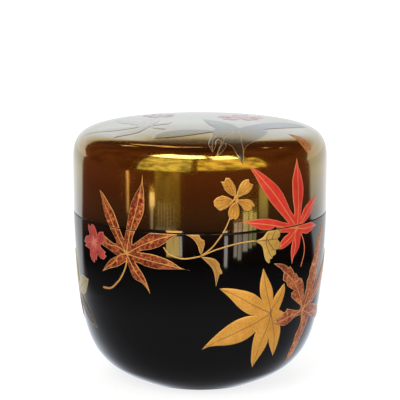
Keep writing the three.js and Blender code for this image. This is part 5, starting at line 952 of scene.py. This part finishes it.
STYLES = {
    "leaf_mottled_vessel": ("vessel", "mottled_relief", M_MOTTLED, dict()),
    "leaf_mottled_lid_a": ("lid", "mottled_relief", M_MOTTLED, dict()),
    "leaf_mottled_lid_b": ("lid", "mottled_relief", M_MOTTLED, dict()),
    "blossom_red": ("vessel", "rose_relief", M_ROSE, dict(line_w=0.05, ridge=-0.01, grid=0.36)),
    "sprig_gold_vessel": ("vessel", "gold_relief", M_SPRIG, dict(line_w=0.07, grid=0.34)),
    "blossom_gold_lid": ("lid", "gold_relief", M_BLOSSOM_GOLD, dict(line_w=0.045, ridge=-0.012, grid=0.34)),
    "leaf_red_lid": ("lid", "red_relief", M_RED, dict(line_w=0.09)),
    "leaf_red_vessel": ("vessel", "red_relief", M_RED, dict(line_w=0.09)),
    "bud_gold": ("vessel", "pale_gold_relief", M_BUD, dict(line_w=0.09, ridge=-0.03, grid=0.34)),
    "leaf_toothed": ("vessel", "mottled_relief", M_TOOTHED, dict(line_w=0.12)),
    "leaf_gold": ("vessel", "gold_relief", M_GOLD, dict(line_w=0.07, ridge=-0.03)),
    "leaf_pale": ("vessel", "pale_gold_relief", M_PALE, dict(line_w=0.09, ridge=-0.02)),
    "leaf_gold_back": ("vessel", "gold_relief", M_GOLD, dict(line_w=0.07, ridge=-0.03)),
    "leaf_red_back_vessel": ("vessel", "red_relief", M_RED, dict(line_w=0.09)),
    "leaf_red_back_lid": ("lid", "red_relief", M_RED, dict(line_w=0.09)),
    "leaf_mottled_back": ("vessel", "mottled_relief", M_MOTTLED, dict()),
    "blossom_red_back": ("vessel", "rose_relief", M_ROSE, dict(line_w=0.05, ridge=-0.01)),
    "blossom_gold_back": ("lid", "gold_relief", M_BLOSSOM_GOLD, dict(line_w=0.045, ridge=-0.012)),
    "blossom_gold_side": ("lid", "gold_relief", M_BLOSSOM_GOLD, dict(line_w=0.045, ridge=-0.012)),
    "leaf_black_top": ("lid", "black_relief", M_HATCHED, dict(height=0.07, dome=0.8, puff=0.0, ridge=0.0, line_w=0.12, hatch=0.85, base=0.015)),
    "leaf_line_top": ("lid", "brown_relief", M_LINE, dict(height=0.05, dome=0.8, puff=0.0, ridge=0.01, line_w=0.10, base=0.015)),
    "leaf_brown_top": ("lid", "mottled_relief", M_CROWN_BROWN, dict(height=0.09, dome=0.7, base=0.015)),
    "blossom_lilac_top": ("lid", "pink_relief", M_LILAC, dict(height=0.07, dome=0.7, puff=0.0, line_w=0.05, ridge=0.0, base=0.015)),
    "blossom_pink_top": ("lid", "pink_relief", M_PINK, dict(height=0.07, dome=0.7, puff=0.0, line_w=0.05, ridge=0.0, base=0.015)),
}
for key, (chart, outline, lines) in MOTIFS.items():
    body, slot, material, opts = STYLES[key]
    relief(key, chart, outline, lines, body, slot, material, **opts)

# ---------------------------------------------------------------- floor, surroundings and lights
def stage_mesh(name, pts, faces, material, camera=True, diffuse=True, glossy=True, shadow=True):
    m = bpy.data.meshes.new(name)
    m.from_pydata([tuple(map(float, p)) for p in pts], [], faces)
    m.materials.append(material)
    o = bpy.data.objects.new(name, m)
    scene.collection.objects.link(o)
    o.visible_camera, o.visible_diffuse, o.visible_glossy, o.visible_shadow = camera, diffuse, glossy, shadow
    o.visible_transmission = o.visible_volume_scatter = False
    return o


def disc(radius, z, rings=(0.05, 0.1, 0.2, 0.4, 0.8, 1.6, 3.2), seg=64):
    pts, faces = [(0, 0, z)], []
    rr = [radius * k / rings[-1] for k in rings]
    for i, r in enumerate(rr):
        for k in range(seg):
            a = 2 * math.pi * k / seg
            pts.append((r * math.sin(a), -r * math.cos(a), z))
        for k in range(seg):
            q = (k + 1) % seg
            b = 1 + i * seg
            faces.append((0, b + k, b + q) if i == 0 else (b - seg + k, b + k, b + q, b - seg + q))
    return pts, faces


# the floor that is seen: near-white paper with a soft contact shadow
t = Tree("floor_paper")
p = t.place()
g = t.noise(p, 900, 3, 0.6)
d = t.node("BsdfDiffuse")
t.put(d.inputs["Color"], t.mix(g, (0.37, 0.37, 0.37), (0.40, 0.40, 0.40)))
e = t.node("Emission")
e.inputs["Color"].default_value = (1, 1, 1, 1)
e.inputs["Strength"].default_value = FLOOR_GLOW
a = t.node("AddShader")
t.nt.links.new(d.outputs[0], a.inputs[0])
t.nt.links.new(e.outputs[0], a.inputs[1])
t.nt.links.new(a.outputs[0], t.out.inputs["Surface"])
stage_mesh("floor", *disc(7.0, 0.0), t.owner, glossy=False)

# a painted reflection of the table top, as a glowing sheet that only reflections see: white paper round the back and
# sides, a painted shadow of the caddy near it, and the darker room side in front
t = Tree("floor_painted_reflection")
x, y, z = split(t, t.place())
az = t.math("MULTIPLY", t.math("ABSOLUTE", t.math("ARCTAN2", x, t.math("MULTIPLY", y, -1.0))), 180 / math.pi)    # 0 in front, 180 behind
left = t.math("LESS_THAN", x, 0.0)
r = t.math("MULTIPLY", t.vmath("LENGTH", t.place()), 1000.0)
# painted shadow: the edge between the caddy's shaded side in front and the lit paper, as an azimuth for each distance
# from the axis
painted_shadow_edge = [(15, 20), (20, 36), (23, 62), (29, 73), (35, 80), (46, 93), (59, 106), (82, 119), (133, 126), (200, 127)]
thr = t.math("MULTIPLY", t.curve(r, [(v, w / 180) for v, w in painted_shadow_edge]), 180.0)
thr = t.math("SUBTRACT", thr, t.math("MULTIPLY", t.math("SUBTRACT", 1.0, left), t.remap(r, 90, 200, 0.0, 15.0)))
s = t.math("MULTIPLY", t.math("SUBTRACT", az, thr), t.remap(r, 90, 210, 1.0, 14.0))
# share is 0 inside the painted shadow in front and 1 on the lit paper
share = t.curve(s, [(-40, 0.0), (-25, 0.05), (-16, 0.10), (-8, 0.22), (0, 0.40), (7, 0.66), (15, 0.87), (25, 1.0)])
# front: painted shade on the table in front of the caddy, then a dark band and the warm room beyond the table's edge
front = t.ramp(t.remap(r, 0.0, 500.0), [(0.0, (0.155, 0.16, 0.175)), (0.14, (0.165, 0.17, 0.18)), (0.19, (0.11, 0.11, 0.115)), (0.28, (0.012, 0.011, 0.010)), (0.34, (0.06, 0.022, 0.012)), (0.42, (0.18, 0.060, 0.038)), (0.65, (0.20, 0.064, 0.038)), (1.0, (0.20, 0.064, 0.036))])
# painted light: the lit paper, brighter and bluer close to the caddy, for the bluish glow on its lower edges
white = t.ramp(t.remap(r, 30.0, 430.0), [(0.0, (1.12, 1.19, 1.32)), (0.08, (1.10, 1.15, 1.24)), (0.18, (1.08, 1.09, 1.10)), (0.5, (0.96, 0.97, 0.97)), (1.0, (0.74, 0.76, 0.76))])
e = t.node("Emission")
t.put(e.inputs["Color"], t.mix(share, front, white))
e.inputs["Strength"].default_value = 1.0
t.nt.links.new(e.outputs[0], t.out.inputs["Surface"])
stage_mesh("floor_painted_reflection_sheet", *disc(7.0, -0.0004), t.owner, camera=False, diffuse=False, shadow=False)

# surroundings: white for the camera, a soft fill for matt surfaces, and for the gloss a
# white backdrop, fading out upwards, against a dim, warm room
t = Tree("studio", world=True)
lp = t.node("LightPath")
dirn = t.node("TexCoord").outputs["Generated"]
x, y, z = split(t, dirn)
az = t.math("MULTIPLY", t.math("ABSOLUTE", t.math("ARCTAN2", x, t.math("MULTIPLY", y, -1.0))), 180 / math.pi)
el = t.math("MULTIPLY", t.math("ARCSINE", z), 180 / math.pi)
left = t.math("LESS_THAN", x, 0.0)
top = [(100, 3), (112, 4), (120, 19), (131, 24), (137, 23), (143, 26), (152, 29.5), (157, 30.6), (164, 30.5), (171, 26.5), (174.8, 21.3), (176.9, 17.1), (178, 15.15), (180, 15.15)]
edge = t.math("MULTIPLY", t.curve(az, [(v, w / 40) for v, w in top]), 40.0)
side_l = t.math("MULTIPLY", t.math("SUBTRACT", az, 123.0), 1.35)
side_r = t.math("MULTIPLY", t.math("SUBTRACT", az, 111.5), 3.0)
side = t.math("ADD", t.math("MULTIPLY", side_l, left), t.math("MULTIPLY", side_r, t.math("SUBTRACT", 1.0, left)))
edge = t.math("MAXIMUM", t.math("MINIMUM", edge, side), 0.02)
ratio = t.math("ADD", t.math("DIVIDE", t.math("MAXIMUM", el, 0.0), edge), t.math("LESS_THAN", edge, 0.4))
level = t.ramp(ratio, [(0.0, (0.80, 0.86, 0.90)), (0.39, (0.72, 0.83, 0.88)), (0.52, (0.79, 0.91, 0.97)), (0.64, (0.73, 0.82, 0.88)), (0.74, (0.71, 0.78, 0.79)), (0.84, (0.66, 0.68, 0.57)), (0.89, (0.62, 0.60, 0.37)), (0.93, (0.54, 0.45, 0.20)), (0.965, (0.25, 0.16, 0.05)), (0.985, (0.0, 0.0, 0.0))])
room_n = t.noise(dirn, 3.0, 3, 0.6)
room = t.mix(t.remap(room_n, 0.35, 0.65), (0.13, 0.040, 0.016), (0.25, 0.082, 0.040))
room = t.mix(1.0, room, t.remap(az, 125, 165, 1.0, 0.42), "MULTIPLY")
gloss = t.mix(1.0, room, t.mix(1.0, level, (WHITE_WALL,) * 3, "MULTIPLY"), "ADD")
bg_gloss, bg_soft, bg_cam = t.node("Background"), t.node("Background"), t.node("Background")
t.put(bg_gloss.inputs["Color"], gloss)
bg_gloss.inputs["Strength"].default_value = 1.0
bg_soft.inputs["Color"].default_value = (1.0, 0.985, 0.96, 1)
bg_soft.inputs["Strength"].default_value = SOFT
bg_cam.inputs["Color"].default_value = (1, 1, 1, 1)
bg_cam.inputs["Strength"].default_value = 1.0
m1, m2 = t.node("MixShader"), t.node("MixShader")
t.put(m1.inputs[0], lp.outputs["Is Glossy Ray"])
t.nt.links.new(bg_soft.outputs[0], m1.inputs[1])
t.nt.links.new(bg_gloss.outputs[0], m1.inputs[2])
t.put(m2.inputs[0], lp.outputs["Is Camera Ray"])
t.nt.links.new(m1.outputs[0], m2.inputs[1])
t.nt.links.new(bg_cam.outputs[0], m2.inputs[2])
t.nt.links.new(m2.outputs[0], t.out.inputs["Surface"])
scene.world = t.owner


def glow(name, color, strength, patchy=0.0, green=(0.75, 0.85, 0.45), scale=(9, 9, 9), seed=0.0):
    t = Tree(name)
    p = t.place()
    e = t.node("Emission")
    if patchy:
        f = t.noise(t.vmath("ADD", t.scaled(p, *scale), (seed, seed, seed)), 1.0, 4, 0.6)
        lo = tuple(max(0.0, c * (1 - patchy)) for c in color)
        col = t.mix(t.remap(f, 0.38, 0.62), lo, color)
        t.put(e.inputs["Color"], t.mix(t.remap(t.noise(t.scaled(p, 14, 14, 14), 1.0, 2), 0.5, 0.65), col, t.mix(1.0, col, green, "MULTIPLY")))
    else:
        e.inputs["Color"].default_value = (*color, 1)
    e.inputs["Strength"].default_value = strength
    t.nt.links.new(e.outputs[0], t.out.inputs["Surface"])
    return t.owner


def strip(name, a0, a1, z0, z1, material, radius=0.12, n=8, z_steps=6):
    """An upright strip light on a cylinder round the caddy, azimuths in degrees from the front."""
    pts, faces = [], []
    for j in range(z_steps + 1):
        for i in range(n + 1):
            a = math.radians(a0 + (a1 - a0) * i / n)
            pts.append((radius * math.sin(a), -radius * math.cos(a), z0 + (z1 - z0) * j / z_steps))
    for j in range(z_steps):
        for i in range(n):
            b = j * (n + 1) + i
            faces.append((b, b + 1, b + n + 2, b + n + 1))
    return stage_mesh(name, pts, faces, material, camera=False, diffuse=False, shadow=False)


def far_panel(name, a0, a1, e0, e1, material, radius=0.9, n=12):
    """A panel at a distance, between two azimuths and two elevations seen from the caddy."""
    pts, faces = [], []
    for j in range(n + 1):
        for i in range(n + 1):
            a, e = math.radians(a0 + (a1 - a0) * i / n), math.radians(e0 + (e1 - e0) * j / n)
            pts.append((radius * math.sin(a) * math.cos(e), -radius * math.cos(a) * math.cos(e), 0.05 + radius * math.sin(e)))
    for j in range(n):
        for i in range(n):
            b = j * (n + 1) + i
            faces.append((b, b + 1, b + n + 2, b + n + 1))
    return stage_mesh(name, pts, faces, material, camera=False, diffuse=False, shadow=False)


GOLDEN, PALE, OLIVE = (1.0, 0.62, 0.30), (1.0, 0.95, 0.86), (1.0, 0.66, 0.19)
strip("strip_a", -59.5, -57.5, 0.030, 0.054, glow("light_a", GOLDEN, 2.4))
strip("strip_b", -39.2, -35.2, 0.0330, 0.0372, glow("light_b", (1.0, 0.80, 0.50), 4.6))
strip("strip_b_low", -38.6, -36.4, 0.0240, 0.0330, glow("light_b_low", (1.0, 0.9, 0.72), 1.6))
strip("strip_c", -34.6, -15.0, 0.0272, 0.064, glow("light_c", (1.0, 0.66, 0.20), 0.62, 0.6, scale=(60, 60, 30)))
strip("strip_c_seam", -34.6, -18.0, 0.0235, 0.0345, glow("light_c_seam", (1.0, 0.80, 0.50), 1.9, 0.6, scale=(120, 120, 30), seed=2.0))
strip("strip_c_low", -26.2, -15.6, 0.0105, 0.0228, glow("light_c_low", OLIVE, 10.5, 0.35, scale=(90, 90, 20), seed=6.0))
strip("strip_c_edge", -15.4, -13.8, 0.0105, 0.0228, glow("light_c_edge", PALE, 6.0))
strip("strip_d", 18.7, 21.3, 0.0052, 0.0230, glow("light_d", PALE, 5.0))
for k, (a0, a1, z0, z1) in enumerate([(26.2, 29.0, 0.0100, 0.0285), (29.6, 32.6, 0.0086, 0.0285), (33.4, 37.6, 0.0130, 0.0315), (38.3, 41.2, 0.0145, 0.0315), (41.9, 44.6, 0.0160, 0.0310)]):
    strip("strip_e%d" % k, a0, a1, z0, z1, glow("light_e%d" % k, (1.0, 0.84, 0.60), 5.0, 0.45, scale=(90, 90, 12), seed=3.0 + k))
strip("strip_f", 46.8, 54.4, 0.0285, 0.0385, glow("light_f", (1.0, 0.80, 0.60), 1.8, 0.35, scale=(60, 60, 16), seed=5.0))
far_panel("window_left", -62, 6, 52.6, 71, glow("window_a", (1.0, 1.0, 0.90), 7.0, 0.1, green=(0.95, 1.0, 0.8), scale=(6, 6, 6)))
far_panel("window_right", 14, 43, 45, 64, glow("window_b", (1.0, 1.0, 0.88), 6.0, 0.35, green=(0.95, 1.0, 0.8), scale=(6, 6, 6), seed=2.0))
far_panel("leaves_left", -56, -8, 3, 51, glow("foliage_a", (1.0, 0.84, 0.34), 2.1, 0.8, scale=(7, 7, 7), seed=1.0))
far_panel("leaves_right", -2, 60, 6, 44.5, glow("foliage_b", (1.0, 0.72, 0.24), 2.3, 0.8, scale=(7, 7, 7), seed=4.0))
for i, (a, e, w) in enumerate([(-154, 45.7, 3.0), (-171, 36.5, 3.0), (-172, 43.5, 2.0), (-176.5, 40.5, 2.6), (144, 53.5, 2.0), (129, 48.2, 1.6)]):
    far_panel("spot_%d" % i, a - w * 1.4, a + w * 1.4, e - w * 0.35, e + w * 0.35, glow("spot_light_%d" % i, (1.0, 0.66, 0.26), 3.2), n=3)


def area(name, loc, target, size, power, color=(1, 1, 1)):
    l = bpy.data.lights.new(name, "AREA")
    l.shape, l.size, l.energy, l.color = "DISK", size, power, color
    o = bpy.data.objects.new(name, l)
    o.location = loc
    o.rotation_mode = "QUATERNION"
    o.rotation_quaternion = (Vector(target) - Vector(loc)).to_track_quat("-Z", "Y")
    scene.collection.objects.link(o)
    o.visible_glossy = False
    o.visible_camera = False
    return o


area("key", (-0.45, -0.95, 0.95), (0, 0, 0.035), 0.9, KEY, (1.0, 0.98, 0.95))
area("fill", (0.9, -0.7, 0.6), (0, 0, 0.035), 0.9, FILL, (0.97, 0.98, 1.0))
area("back", (0.0, 1.1, 0.9), (0, 0, 0.035), 1.0, BACK, (1.0, 1.0, 1.0))

# ---------------------------------------------------------------- camera
EL = math.radians(12.76)
cam = bpy.data.cameras.new("camera")
cam.sensor_width, cam.sensor_fit = 36.0, "AUTO"
cam.lens = 1899.5 / 400 * 36.0
cam.clip_start, cam.clip_end = 0.02, 30.0
cam_obj = bpy.data.objects.new("camera", cam)
scene.collection.objects.link(cam_obj)
cam_obj.location = (0.0, -0.5 * math.cos(EL), HEIGHT * MM / 2 + 0.5 * math.sin(EL))
pitch = math.radians(-(12.76 - 1.491))
look = Vector((math.sin(YAW) * math.cos(pitch), math.cos(YAW) * math.cos(pitch), math.sin(pitch)))
cam_obj.rotation_mode = "QUATERNION"
cam_obj.rotation_quaternion = look.to_track_quat("-Z", "Y")
scene.camera = cam_obj

scene.view_settings.view_transform = "Standard"
scene.view_settings.look = "None"
scene.view_settings.exposure = 0.0
scene.view_settings.gamma = 1.0
